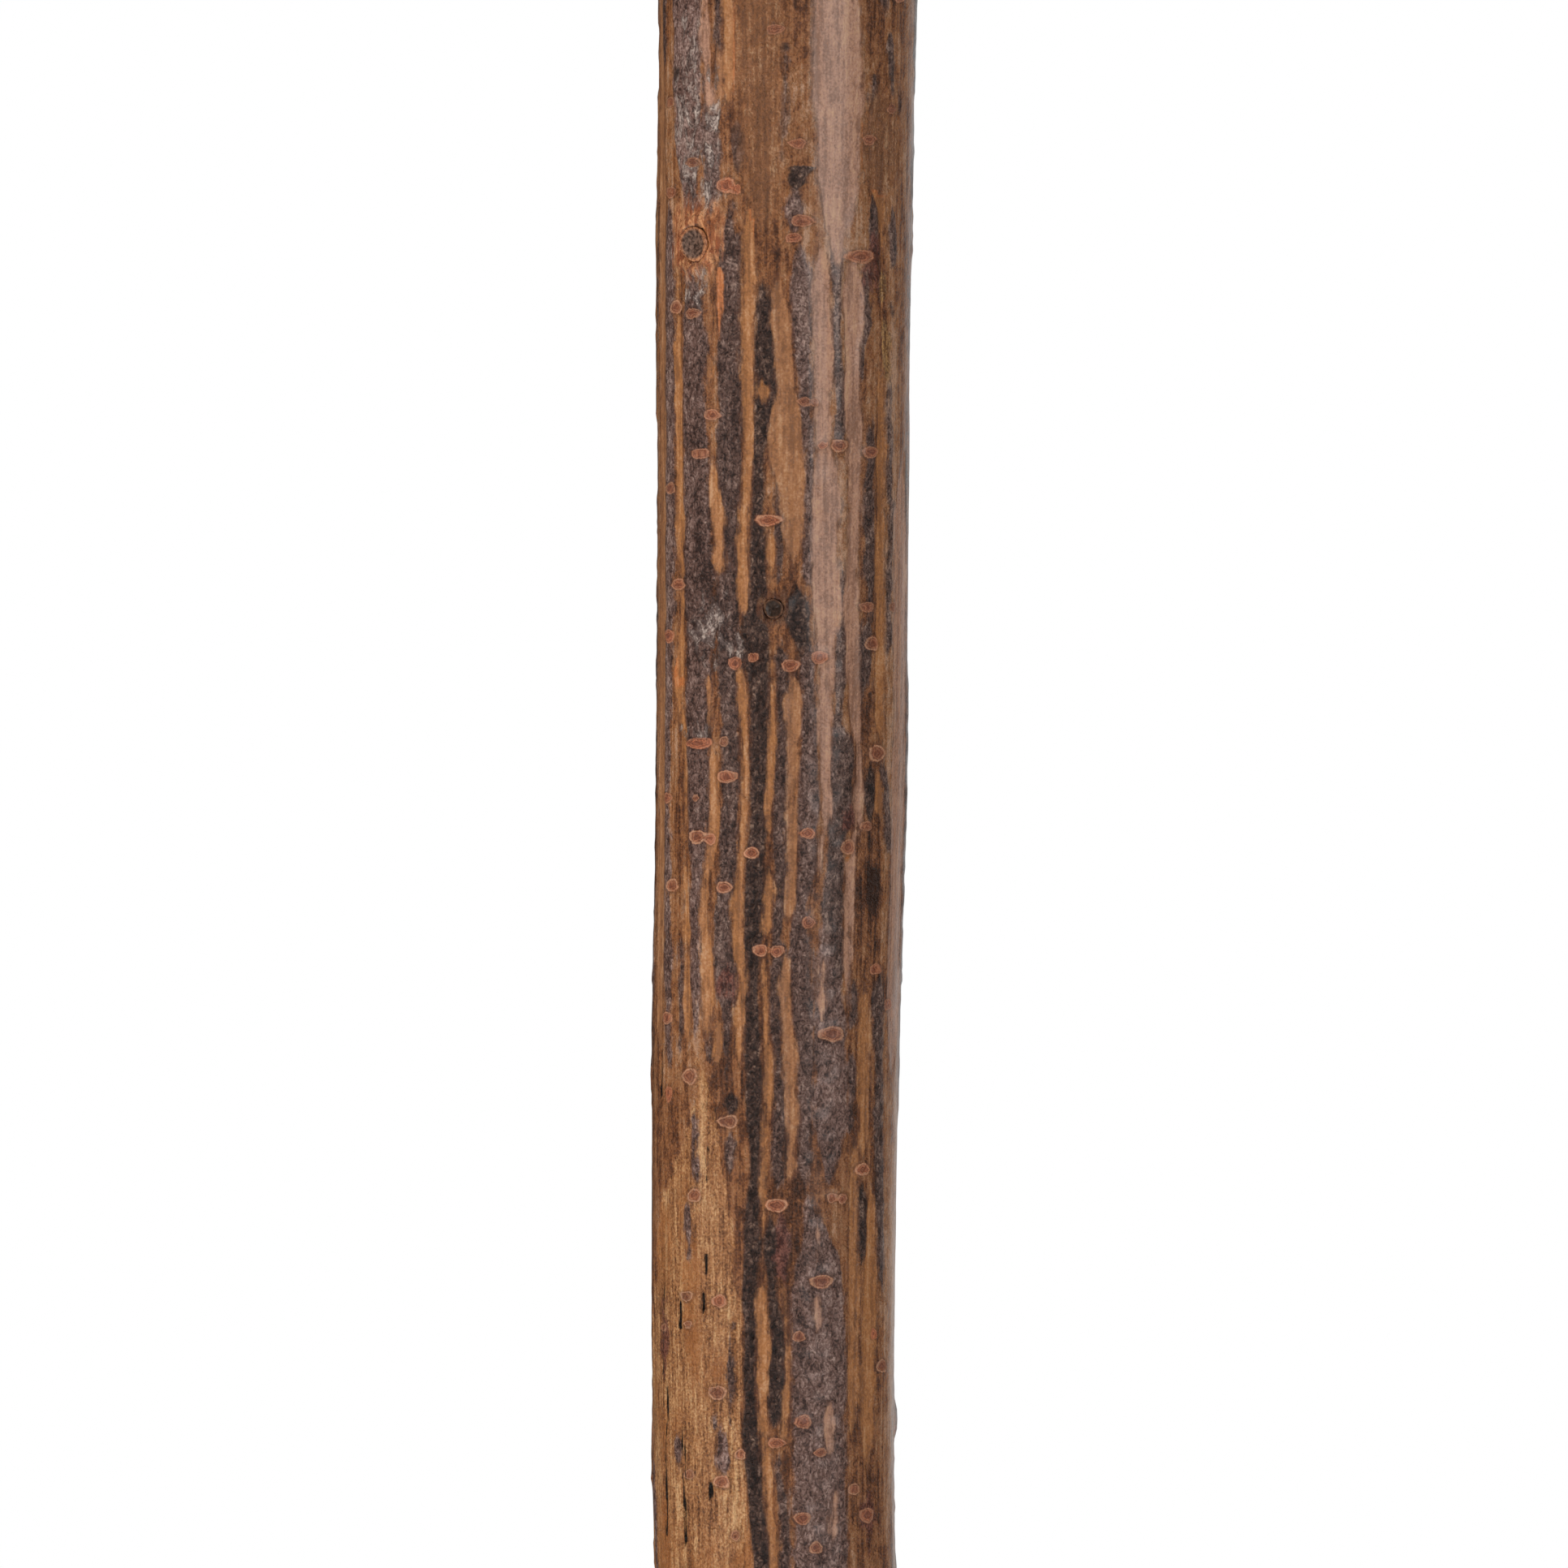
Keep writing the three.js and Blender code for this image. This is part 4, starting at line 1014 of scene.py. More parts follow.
def root_blank():
    """The CAD root above the neck, remeshed finely. Returns points, from the crown's foot, and faces."""
    mesh = bmesh.new()
    mesh.from_mesh(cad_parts["cane_wood"].data)
    bmesh.ops.remove_doubles(mesh, verts=mesh.verts, dist=1e-6)
    level = (0, 0, (CROWN_FOOT + NECK_BOTTOM) * MM)
    everything = list(mesh.verts) + list(mesh.edges) + list(mesh.faces)
    cut = bmesh.ops.bisect_plane(
        mesh, geom=everything, plane_co=level, plane_no=(0, 0, 1), clear_inner=True
    )
    rim = [e for e in cut["geom_cut"] if isinstance(e, bmesh.types.BMEdge)]
    bmesh.ops.holes_fill(mesh, edges=rim)
    blank = bpy.data.meshes.new("root_blank")
    mesh.to_mesh(blank)
    mesh.free()
    holder = bpy.data.objects.new("root_blank", blank)
    bpy.context.scene.collection.objects.link(holder)
    remesh = holder.modifiers.new("fine", "REMESH")
    remesh.mode = "VOXEL"
    remesh.voxel_size = ROOT_VOXEL * MM
    fine = holder.evaluated_get(bpy.context.evaluated_depsgraph_get()).to_mesh()
    points = mesh_points(fine)
    faces = [tuple(face.vertices) for face in fine.polygons]
    holder.to_mesh_clear()
    bpy.data.objects.remove(holder)
    points[:, 2] -= CROWN_FOOT
    return points, faces


def edge_pairs(faces):
    """The two points of each edge, once."""
    pairs = set()
    for face in faces:
        for a, b in zip(face, face[1:] + face[:1]):
            pairs.add((min(a, b), max(a, b)))
    return np.array(sorted(pairs))


def relaxed(points, pairs, share):
    """Each point moved a share of the way to the middle of its neighbours."""
    total = np.zeros_like(points)
    count = np.zeros(len(points))
    for a, b in ((pairs[:, 0], pairs[:, 1]), (pairs[:, 1], pairs[:, 0])):
        for k in range(3):
            total[:, k] += np.bincount(a, points[b, k], len(points))
        count += np.bincount(a, minlength=len(points))
    return points + share * (total / count[:, None] - points)


def slope_of(distance, points, step=0.05):
    """Which way the distance grows at each point, measured over a step."""
    slopes = np.empty_like(points)
    for k in range(3):
        shift = np.zeros(3)
        shift[k] = step
        slopes[:, k] = (distance(points + shift) - distance(points - shift)) / (2 * step)
    return slopes


def settled(distance, points, rounds=3):
    """Points moved onto the surface where the distance is zero."""
    for _ in range(rounds):
        slopes = slope_of(distance, points)
        squared = np.maximum((slopes**2).sum(1), 0.2)
        points = points - (distance(points) / squared)[:, None] * slopes
    return points


def smooth_chain(chain, steps=8):
    """The chain with points added on a curve through its own."""
    spheres = np.array(chain, float)
    ends = np.concatenate([[2 * spheres[0] - spheres[1]], spheres, [2 * spheres[-1] - spheres[-2]]])
    made = []
    for a, b, c, d in zip(ends, ends[1:], ends[2:], ends[3:]):
        for t in np.arange(steps) / steps:
            made.append(0.5 * (2 * b + (c - a) * t + (2 * a - 5 * b + 4 * c - d) * t**2
                               + (3 * b - a - 3 * c + d) * t**3))
    made.append(spheres[-1])
    return made


def grain_coordinates(points):
    """Where each point lies across and along the wood's fibre, in millimetres."""
    total = np.zeros_like(points)
    weights = np.zeros(len(points))
    for chain in [GRIP_CHAIN] + SAWN_CHAINS:
        start = float(np.linalg.norm(np.array(chain[0][:3]) - GRIP_CHAIN[0][:3]))
        distance, along, foot, heading = chain_distance(points, smooth_chain(chain))
        offset = points - foot
        side = np.cross(heading, (0.0, 1.0, 0.12))
        side /= np.linalg.norm(side, axis=1)[:, None]
        other = np.cross(heading, side)
        local = np.stack([(offset * side).sum(1), (offset * other).sum(1), along + start], axis=1)
        weight = np.exp(-np.clip(distance + 1.5, 0, 40) / 1.6)
        total += weight[:, None] * local
        weights += weight
    return total / weights[:, None]


def root_pits(points, rng):
    """Trimmed hair roots: seeded spots on the root. Returns the nearest one's distance over its radius."""
    nearest = np.full(len(points), float(PLAIN_WOOD["pit"]))
    chosen = rng.choice(np.where(points[:, 2] > PIT_LOWEST)[0], PIT_COUNT, replace=False)
    for i in chosen:
        radius = rng.uniform(*PIT_RADII)
        away = np.linalg.norm(points - points[i], axis=1) / radius
        nearest = np.minimum(nearest, away)
    return nearest


def wood_fields(grain, **special):
    """The wood's fields: where each point lies in the grain, and what is special there."""
    fields = {name: np.full(len(grain), float(plain)) for name, plain in PLAIN_WOOD.items()}
    fields.update(special)
    fields.update(zip(("grain_x", "grain_y", "grain_z"), grain.T))
    return fields


def make_root():
    """The root's crown and grip: a swelling surface with flutes, creases, cuts and trimmed hair roots."""
    points, faces = root_blank()
    pairs = edge_pairs(faces)
    for _ in range(3):
        points = relaxed(points, pairs, 0.5)
        points = settled(root_distance, points)
    normals = slope_of(root_distance, points, 0.2)
    normals /= np.linalg.norm(normals, axis=1)[:, None]
    grain = grain_coordinates(points)

    sawn = np.full(len(points), float(PLAIN_WOOD["sawn"]))
    sawn_depth = -sawn
    for chain in SAWN_CHAINS:
        past, aside = past_cut(points, chain)
        near = (aside < 1.5) & (np.abs(past) < 1.2)
        sawn = np.where(near, np.minimum(sawn, aside), sawn)
        sawn_depth = np.where(near, np.maximum(sawn_depth, past), sawn_depth)
    on_cut = smooth(sawn_depth, -0.5, -0.12)
    free = (1 - on_cut) * smooth(points[:, 2], 3, 14)

    pits = root_pits(points, np.random.default_rng(ROOT_SEED))
    crease = bell(cloud(grain + 40, (4.4, 4.4, 46)), 0, 0.05)
    crease = crease * smooth(cloud(grain + 90, (12, 12, 26)), -0.1, 0.4)
    flutes_and_lumps = clouds(grain, FLUTE_LAYERS) + clouds(points, LUMP_LAYERS)
    move = free * (flutes_and_lumps - 0.55 * crease)
    move += free * (0.28 * bell(pits, 1.15, 0.35) - 0.3 * np.exp(-(pits**2) / 0.5))
    move += on_cut * clouds(points, SAW_MARK_LAYERS)
    points = points + normals * move[:, None]

    # How deep each point lies below its smoothed neighbours; the material paints shade there
    flat = points
    for _ in range(3):
        flat = relaxed(flat, pairs, 0.6)
    hollow = ((flat - points) * normals).sum(1)
    sawn = np.where(on_cut > 0.02, sawn, PLAIN_WOOD["sawn"])
    fields = wood_fields(
        grain, hollow=hollow, crease=crease * free, pit=pits, sawn=sawn, on_cut=on_cut
    )
    points[:, 2] += CROWN_FOOT
    return points, faces, fields


def make_core():
    """The shaft's wood inside the bark, from the tip up to the root's neck."""
    top = CROWN_FOOT + NECK_BOTTOM - CORE_TOP_GAP
    levels = np.concatenate([[BARK_LOW, BARK_LOW + END_CHAMFER], ring_levels[1:]])
    levels = np.append(levels[levels < top], top)
    angle = even_angles(CORE_SIDES)
    radius = shaft_radius(levels[:, None], angle[None, :]) - WOOD_INSET
    radius[0] -= END_CHAMFER
    rings = shaft_rings(levels, radius, angle)
    points = np.concatenate([rings.reshape(-1, 3), rings[[0, -1]].mean(1)])
    middle = shaft_middle(BARK_LOW)
    share = np.hypot(points[:, 0] - middle[0], points[:, 1] - middle[1]) / radius[0].mean()
    on_end = points[:, 2] < BARK_LOW + 0.01
    sawn = np.where(on_end, share, PLAIN_WOOD["sawn"])
    fields = wood_fields(points, sawn=sawn, on_cut=on_end.astype(float))
    return points, turned_faces(len(levels), CORE_SIDES), fields


def make_knot(angle, z, radius, proud, orange, rng):
    """The cut end of a trimmed twig: dished growth rings with a cracked middle."""
    out = np.array([math.sin(angle), -math.cos(angle), 0.0])
    side = np.array([math.cos(angle), math.sin(angle), 0.0])
    up = np.array([0.0, 0.0, 1.0])
    surface = float(shaft_radius(z, angle))
    base = np.append(shaft_middle(z), z)
    around = even_angles(KNOT_SIDES)
    lobes = 1 + 0.05 * np.sin(2 * around + z) + 0.03 * np.sin(3 * around + 2 * z)
    rings = []
    for share in KNOT_RINGS:
        height = proud + 0.1 - 0.28 * (1 - share**2) + 0.05 * math.sin(9 * share)
        if share >= KNOT_RIM:
            height -= 0.1
        level = surface + height + 0.05 * rng.uniform(-1, 1, KNOT_SIDES) * (share < 1)
        spread = radius * share * lobes
        across = np.outer(spread * np.cos(around), side) + np.outer(spread * np.sin(around), up)
        rings.append(base + np.outer(level, out) + across)
    rings[-2] = rings[-2] - 0.25 * out
    rings[-1] = rings[-1] - KNOT_DEPTH * out
    top = base + (surface + proud - 0.2) * out
    bottom = base + (surface + proud - KNOT_DEPTH) * out
    points = np.concatenate(rings + [[top, bottom]])
    faces = [face[::-1] for face in turned_faces(len(rings), KNOT_SIDES)]
    grain = (points - base) @ np.stack([side, up, out], axis=1)
    share = np.hypot(grain[:, 0], grain[:, 1]) / radius
    fields = wood_fields(
        grain, pit=share * 0.85, sawn=share, on_cut=np.full(len(points), 0.8),
        weathered=np.full(len(points), 1 - 0.3 * smooth(orange, 0.5, 1.0)),
        collar=orange * smooth(share, 0.8, 0.96),
    )
    return points, faces, fields


def make_wood():
    """Root, hidden shaft wood and trimmed twigs as one piece."""
    rng = np.random.default_rng(KNOT_SEED)
    parts = [make_root(), make_core()]
    for angle, z, radius, proud in KNOTS:
        orange, spread = collar_at(angle, z)
        parts.append(make_knot(angle, z, radius * spread, proud, orange, rng))
    faces = []
    start = 0
    for points, part_faces, _ in parts:
        faces += [tuple(start + i for i in face) for face in part_faces]
        start += len(points)
    points = np.concatenate([part[0] for part in parts])
    fields = {name: np.concatenate([part[2][name] for part in parts]) for name in parts[0][2]}
    return mesh_object("root_and_shaft_wood", points, faces, fields)


# Ferrule

def read_profile(name):
    """The half section of a turned CAD node, as radius and height pairs in order from its foot."""
    mesh = bmesh.new()
    mesh.from_mesh(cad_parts[name].data)
    bmesh.ops.remove_doubles(mesh, verts=mesh.verts, dist=1e-6)
    mesh.verts.ensure_lookup_table()
    first = max(mesh.verts, key=lambda v: math.hypot(v.co.x, v.co.y))
    bearing = math.atan2(first.co.y, first.co.x)

    def on_plane(vertex):
        """Whether a vertex lies on the axis or at the first vertex's bearing."""
        radius = math.hypot(vertex.co.x, vertex.co.y)
        return radius < 1e-6 or abs(wrapped(math.atan2(vertex.co.y, vertex.co.x) - bearing)) < 1e-3

    links = {}
    for edge in mesh.edges:
        a, b = edge.verts
        if on_plane(a) and on_plane(b):
            links.setdefault(a.index, []).append(b.index)
            links.setdefault(b.index, []).append(a.index)
    ends = [i for i, joined in links.items() if len(joined) == 1]
    order = [min(ends, key=lambda i: mesh.verts[i].co.z)]
    while True:
        onward = [i for i in links[order[-1]] if i not in order]
        if not onward:
            break
        order.append(onward[0])
    profile = [(math.hypot(*mesh.verts[i].co.xy) / MM, mesh.verts[i].co.z / MM) for i in order]
    mesh.free()
    return np.array(profile)


def rounded_profile(profile):
    """The profile with each corner turned into a short curve."""
    made = [profile[0]]
    for before, corner, after in zip(profile, profile[1:], profile[2:]):
        back = before - corner
        ahead = after - corner
        reach = min(CORNER_ROUNDING, 0.45 * np.linalg.norm(back), 0.45 * np.linalg.norm(ahead))
        start = corner + back / np.linalg.norm(back) * reach
        end = corner + ahead / np.linalg.norm(ahead) * reach
        for step in range(CORNER_STEPS + 1):
            t = step / CORNER_STEPS
            made.append(start * (1 - t) ** 2 + corner * 2 * t * (1 - t) + end * t**2)
    made.append(profile[-1])
    return np.array(made)


def make_ferrule():
    """The moulded rubber ferrule, turned finely on the CAD ferrule's own section."""
    profile = rounded_profile(read_profile("rubber_ferrule"))
    angle = even_angles(FERRULE_SIDES)
    radius = profile[1:-1, :1]
    heights = np.broadcast_to(profile[1:-1, 1:], (len(radius), FERRULE_SIDES))
    points = np.stack([radius * np.sin(angle), -radius * np.cos(angle), heights], axis=-1)
    caps = [(0, 0, profile[0, 1]), (0, 0, profile[-1, 1])]
    points = np.concatenate([points.reshape(-1, 3), caps])
    return mesh_object("moulded_ferrule", points, turned_faces(len(radius), FERRULE_SIDES), {})


# Materials

def rgb(red, green, blue):
    """A colour given as it is seen, 0 to 255, in Blender's linear values."""
    linear = []
    for value in (red, green, blue):
        share = value / 255
        linear.append(share / 12.92 if share <= 0.04045 else ((share + 0.055) / 1.055) ** 2.4)
    return (*linear, 1.0)


class Value:
    """What a shader node puts out. Arithmetic with it adds nodes."""

    def __init__(self, graph, socket):
        self.graph = graph
        self.socket = socket

    def __add__(self, other):
        return self.graph.math("ADD", self, other)

    def __mul__(self, other):
        return self.graph.math("MULTIPLY", self, other)

    def __sub__(self, other):
        return self.graph.math("SUBTRACT", self, other)

    def __rsub__(self, other):
        return self.graph.math("SUBTRACT", other, self)

    def __abs__(self):
        return self.graph.math("ABSOLUTE", self)

    __radd__ = __add__
    __rmul__ = __mul__


class Graph:
    """A tree of shader nodes."""

    def __init__(self, tree):
        self.tree = tree

    def feed(self, socket, value):
        """Joins a value to a socket, or sets a plain number, place or colour there."""
        if isinstance(value, Value):
            self.tree.links.new(value.socket, socket)
        else:
            socket.default_value = value

    def add(self, kind, inputs, **settings):
        """A new node, with its inputs fed by name or number."""
        node = self.tree.nodes.new(kind)
        for name, value in settings.items():
            setattr(node, name, value)
        for name, value in inputs.items():
            self.feed(node.inputs[name], value)
        return node

    def output(self, kind, output, inputs, **settings):
        """One output of a new node."""
        return Value(self, self.add(kind, inputs, **settings).outputs[output])

    def math(self, operation, a, b=0.0):
        """One operation on one or two numbers."""
        return self.output("ShaderNodeMath", 0, {0: a, 1: b}, operation=operation)

    def vector(self, operation, a, b=(0, 0, 0), output=0):
        """One operation on one or two places."""
        return self.output("ShaderNodeVectorMath", output, {0: a, 1: b}, operation=operation)

    def field(self, name):
        """A mesh attribute as a number."""
        return self.output("ShaderNodeAttribute", "Fac", {}, attribute_name=name)

    def span(self, value, low, high, to_low=0.0, to_high=1.0):
        """A soft step of a value from low to high."""
        ends = {"Value": value, "From Min": low, "From Max": high, "To Min": to_low, "To Max": to_high}
        return self.output(
            "ShaderNodeMapRange", "Result", ends, interpolation_type="SMOOTHSTEP", clamp=True
        )

    def mix(self, share, a, b):
        """A blend of two colours."""
        blend = {0: share, MIX_A: a, MIX_B: b}
        return self.output("ShaderNodeMix", MIX_RESULT, blend, data_type="RGBA")

    def ramp(self, value, *stops):
        """Colours at stops of a value from 0 to 1."""
        node = self.add("ShaderNodeValToRGB", {"Fac": value})
        elements = node.color_ramp.elements
        while len(elements) < len(stops):
            elements.new(0.5)
        for element, (place, _) in zip(elements, stops):
            element.position = place
        for element, (_, colour) in zip(elements, stops):
            element.color = colour
        return Value(self, node.outputs["Color"])


class Material(Graph):
    """A material's nodes. Places are in millimetres."""

    def __init__(self, name):
        self.material = bpy.data.materials.new(name)
        self.material.use_nodes = True
        super().__init__(self.material.node_tree)
        place = self.output("ShaderNodeTexCoord", "Object", {})
        self.place = self.vector("MULTIPLY", place, (1 / MM, 1 / MM, 1 / MM))

    def noise(self, lump, detail=2.0, roughness=0.5, distortion=0.0, across=(1, 1), along=1, place=None):
        """Noise from 0 to 1. Its lumps are about that many millimetres, and longer where a scale is low."""
        vector = self.vector("MULTIPLY", place or self.place, (*across, along))
        return self.output("ShaderNodeTexNoise", "Fac", {
            "Vector": vector, "Scale": 1 / lump, "Detail": detail, "Roughness": roughness,
            "Distortion": distortion,
        })

    def swing(self, *kind, **scales):
        """Noise from -0.5 to 0.5."""
        return self.noise(*kind, **scales) - 0.5

    def finished(self, inputs, height=None, depth=0.0):
        """The material, with its shader's inputs fed and relief that is depth millimetres deep."""
        shader = self.tree.nodes["Principled BSDF"]
        for name, value in inputs.items():
            self.feed(shader.inputs[name], value)
        if height is not None:
            relief = {"Strength": 1.0, "Distance": depth * MM, "Height": height}
            self.feed(shader.inputs["Normal"], self.output("ShaderNodeBump", "Normal", relief))
        return self.material


class BarkMaterial(Material):
    """The bark's material, with the noises that its kinds of bark share."""

    def __init__(self):
        super().__init__("natural_bark")
        self.ragged = self.swing(1.1, 5.0, 0.66, along=0.42) * 2.2
        self.grain = self.swing(0.7, 3.0, 0.55, along=0.6)
        self.speck = self.swing(0.24)
        self.streak = self.swing(1.3, 4.0, 0.55, 0.4, along=0.1)
        self.line = self.swing(0.4, along=0.05)
        self.patch = self.swing(4.0, 3.0, along=0.35)
        self.blotch = self.swing(1.5, 4.0, 0.65, 0.8, along=0.7)
        self.hair = self.swing(0.26, 3.0, 0.6, along=0.09)
        # Lighter and darker bark tone, with painted sheen and rim light
        self.light = self.field("light")
        self.feather = self.ragged + 0.7 * self.line
        self.dome = self.pebbles()

    def pebbles(self):
        """Small domes, 0.5 in their middles and -0.5 between them."""
        swirl = 1.2 * self.noise(1.0)
        push = self.output("ShaderNodeCombineColor", "Color", {0: swirl, 1: swirl, 2: swirl})
        place = self.vector("ADD", self.vector("MULTIPLY", self.place, (1, 1, 0.75)), push)
        cells = {"Vector": place, "Scale": 1 / 0.55}
        pebble = self.output("ShaderNodeTexVoronoi", "Distance", cells, feature="F1")
        return self.span(pebble, 0.1, 0.65, 0.5, -0.5)


def plain_bark(g):
    """Brown bark between the strips; its pale pinkish top stops paint lighter bark and, where the light
    ovals lie, sheen and rim light.
    """
    mottle = (0.52 + g.light + 0.9 * g.streak + 0.5 * g.patch + g.blotch + 0.5 * g.grain
              + 0.9 * g.line + 0.6 * g.speck)
    return g.ramp(
        mottle, (0.1, rgb(60, 35, 22)), (0.36, rgb(105, 62, 36)), (0.54, rgb(144, 90, 52)),
        (0.74, rgb(162, 110, 70)), (1.0, rgb(188, 144, 113)),
    )


def dark_strips(g, colour):
    """Raised pebbled strips, from grey to black."""
    fold = g.swing(0.62, 2.0, 0.5, 0.8, along=0.7)
    wrinkle = g.span(abs(fold), 0.0, 0.08, -0.22, 0.05)
    g.lumps = (0.55 + g.grain + g.speck + 0.9 * g.blotch + 0.26 * g.dome + 0.6 * g.streak
               + 0.5 * g.light + wrinkle)
    # Painted highlights: the pale top stops of both ramps are glints on the pebbles. The grey ramp's light
    # mauve is partly the bark's tone and partly painted sheen, and the light field adds painted sheen and
    # rim light
    grey = g.ramp(
        g.lumps, (0.06, rgb(60, 40, 34)), (0.42, rgb(112, 81, 70)), (0.66, rgb(140, 109, 98)),
        (0.98, rgb(180, 149, 136)),
    )
    black = g.ramp(
        g.lumps, (0.06, rgb(32, 21, 17)), (0.42, rgb(64, 44, 36)), (0.66, rgb(92, 67, 56)),
        (1.0, rgb(146, 116, 98)),
    )
    tone = g.field("dark_tone")
    steady = g.span(tone, 0.65, 0.95, 1.0, 0.5)
    g.dark = g.span(g.field("dark") + g.feather * steady, -0.26, 0.3)
    return g.mix(g.dark, colour, g.mix(tone, grey, black))


def tan_strips(g, colour):
    """Smooth tan strips, with a red-brown line along their edges."""
    tone = g.field("tan_tone")
    tan = g.ramp(
        tone, (0.0, rgb(176, 129, 103)), (0.25, rgb(164, 110, 70)), (0.5, rgb(168, 110, 63)),
        (0.75, rgb(184, 108, 56)), (0.95, rgb(142, 92, 57)),
    )
    fibre = 0.46 + 0.9 * g.line + 0.8 * g.streak + 0.5 * g.grain + 0.8 * g.blotch + 0.8 * g.speck
    tan = g.mix(g.span(fibre, 0.2, 0.6, 0.55, 0.0), tan, rgb(96, 62, 42))
    tan = g.mix(g.span(fibre, 0.5, 0.9, 0.0, 0.5), tan, rgb(206, 164, 124))
    edge = g.field("tan") + 0.8 * g.feather
    firm = g.span(tone, 0.85, 0.95, 1.0, 0.2)
    inside = g.span(edge * firm, -0.22, 0.26)
    g.smoothed = inside * firm
    rind = g.span(abs(edge + 0.12), 0.0, 0.34, 0.6, 0.0) * firm * g.span(g.grain, -0.1, 0.12)
    return g.mix(rind, g.mix(inside, colour, tan), rgb(84, 48, 33))


def bare_wood(g, colour):
    """Wood rubbed bare, with its grain lines."""
    bare = g.ramp(
        0.5 + 0.7 * g.line + 0.9 * g.streak + 0.6 * g.blotch + 0.9 * g.hair + g.speck,
        (0.1, rgb(90, 54, 30)), (0.36, rgb(145, 93, 54)), (0.54, rgb(174, 119, 73)),
        (0.86, rgb(214, 166, 116)),
    )
    bare = g.mix(g.span(g.patch, -0.02, 0.16, 0.0, 0.6), bare, rgb(162, 98, 48))
    check = g.span(g.hair, -0.26, -0.17, 1.0, 0.0) * g.span(g.blotch, -0.05, 0.1)
    bare = g.mix(0.75 * check, bare, rgb(58, 36, 24))
    edge = g.field("bare") + g.feather + 1.6 * g.streak
    g.rubbed = g.span(edge, -0.2, 0.25) * (1.0 - g.dark)
    return g.mix(g.rubbed, colour, bare)


def other_patches(g, colour):
    """Grey crinkled flakes, rust-red patches and olive flakes."""
    crinkle = g.noise(1.6, 4.0, 0.62, 1.4, along=0.5)
    g.flake = g.span(g.field("flake") + g.ragged, 0.0, 0.3) * g.span(crinkle, 0.45, 0.6)
    flaky = g.mix(g.span(g.lumps, 0.25, 0.8), rgb(114, 94, 87), rgb(206, 186, 172))
    colour = g.mix(0.75 * g.flake, colour, flaky)
    rust = g.span(g.field("rust") + 1.4 * g.ragged, 0.0, 0.5, 0.0, 0.85)
    rusty = g.mix(g.span(g.grain + g.speck, -0.2, 0.25), rgb(72, 34, 26), rgb(138, 82, 66))
    colour = g.mix(rust, colour, rusty)
    olive = g.span(g.field("olive") + g.ragged, 0.0, 0.4, 0.0, 0.9)
    tint = g.span(g.grain + g.speck + g.line, -0.2, 0.3)
    return g.mix(olive, colour, g.mix(tint, rgb(104, 70, 40), rgb(192, 146, 92)))


def lenticels(g, colour):
    """Orange rippled lenticels, with a pale rim and a dark line round them."""
    lens = g.field("lens") + 0.25 * g.ragged + 0.3 * g.grain
    orange = g.ramp(
        g.field("lens_tone"), (0.0, rgb(98, 64, 45)), (0.5, rgb(154, 92, 63)),
        (1.0, rgb(190, 104, 66)),
    )
    ripple = g.math("SINE", 17.0 * lens + 9.0 * g.grain)
    orange = g.mix(g.span(ripple, -0.6, 0.7, 0.5, 0.0), orange, rgb(96, 52, 36))
    orange = g.mix(g.span(ripple, 0.3, 1.0, 0.0, 0.35), orange, rgb(206, 148, 108))
    orange = g.mix(g.span(lens, 0.36, 0.62, 0.0, 0.6), orange, rgb(116, 62, 42))
    rim = g.span(lens, 0.0, 0.14) * g.span(lens, 0.18, 0.36, 1.0, 0.0)
    rim = rim * g.field("lens_rim") * g.span(g.grain, -0.24, 0.04)
    halo = g.span(lens, -0.45, -0.02) * g.span(lens, -0.04, 0.08, 1.0, 0.0) * 0.35
    colour = g.mix(halo, colour, rgb(74, 45, 32))
    colour = g.mix(g.span(lens, -0.08, 0.16, 0.0, 0.9), colour, orange)
    return g.mix(0.65 * rim, colour, rgb(210, 158, 122))


def twig_collars(g, colour):
    """Torn collars and dark hearts of the trimmed twigs."""
    knot = g.field("knot") + g.ragged + 1.4 * g.line
    collar = g.span(knot, 1.5, 2.25, 1.0, 0.0) * g.span(g.grain, -0.2, 0.04, 0.5, 1.0)
    torn = g.mix(g.span(g.line + g.grain, -0.14, 0.2), rgb(156, 86, 50), rgb(218, 152, 102))
    colour = g.mix(collar, colour, g.mix(g.field("knot_tone"), rgb(58, 41, 33), torn))
    heart = g.span(g.field("knot") + 0.25 * g.ragged, 1.0, 1.12, 1.0, 0.0)
    return g.mix(0.8 * heart, colour, rgb(40, 26, 21))


def cracks(g, colour):
    """Open dark cracks."""
    g.crack = g.span(g.field("crack") + 0.2 * g.ragged + 0.9 * g.hair, -0.1, 0.02)
    return g.mix(g.crack, colour, rgb(20, 14, 11))


def bark_material():
    """All the kinds of bark, each laid over the ones before it, under a satin lacquer."""
    g = BarkMaterial()
    colour = plain_bark(g)
    for lay in (dark_strips, tan_strips, bare_wood, other_patches, lenticels, twig_collars, cracks):
        colour = lay(g, colour)
    pebbled = (g.lumps + 0.5 * g.dome) * (1.0 - 0.7 * g.smoothed)
    height = pebbled + 0.3 * g.line + 1.1 * g.flake - 0.6 * g.crack + 0.6 * g.hair * g.rubbed
    return g.finished({
        "Base Color": colour, "Roughness": 0.34 + 0.3 * g.grain, "Specular IOR Level": 0.4,
        "Coat Weight": 0.7, "Coat Roughness": 0.22,
    }, height, 0.24)


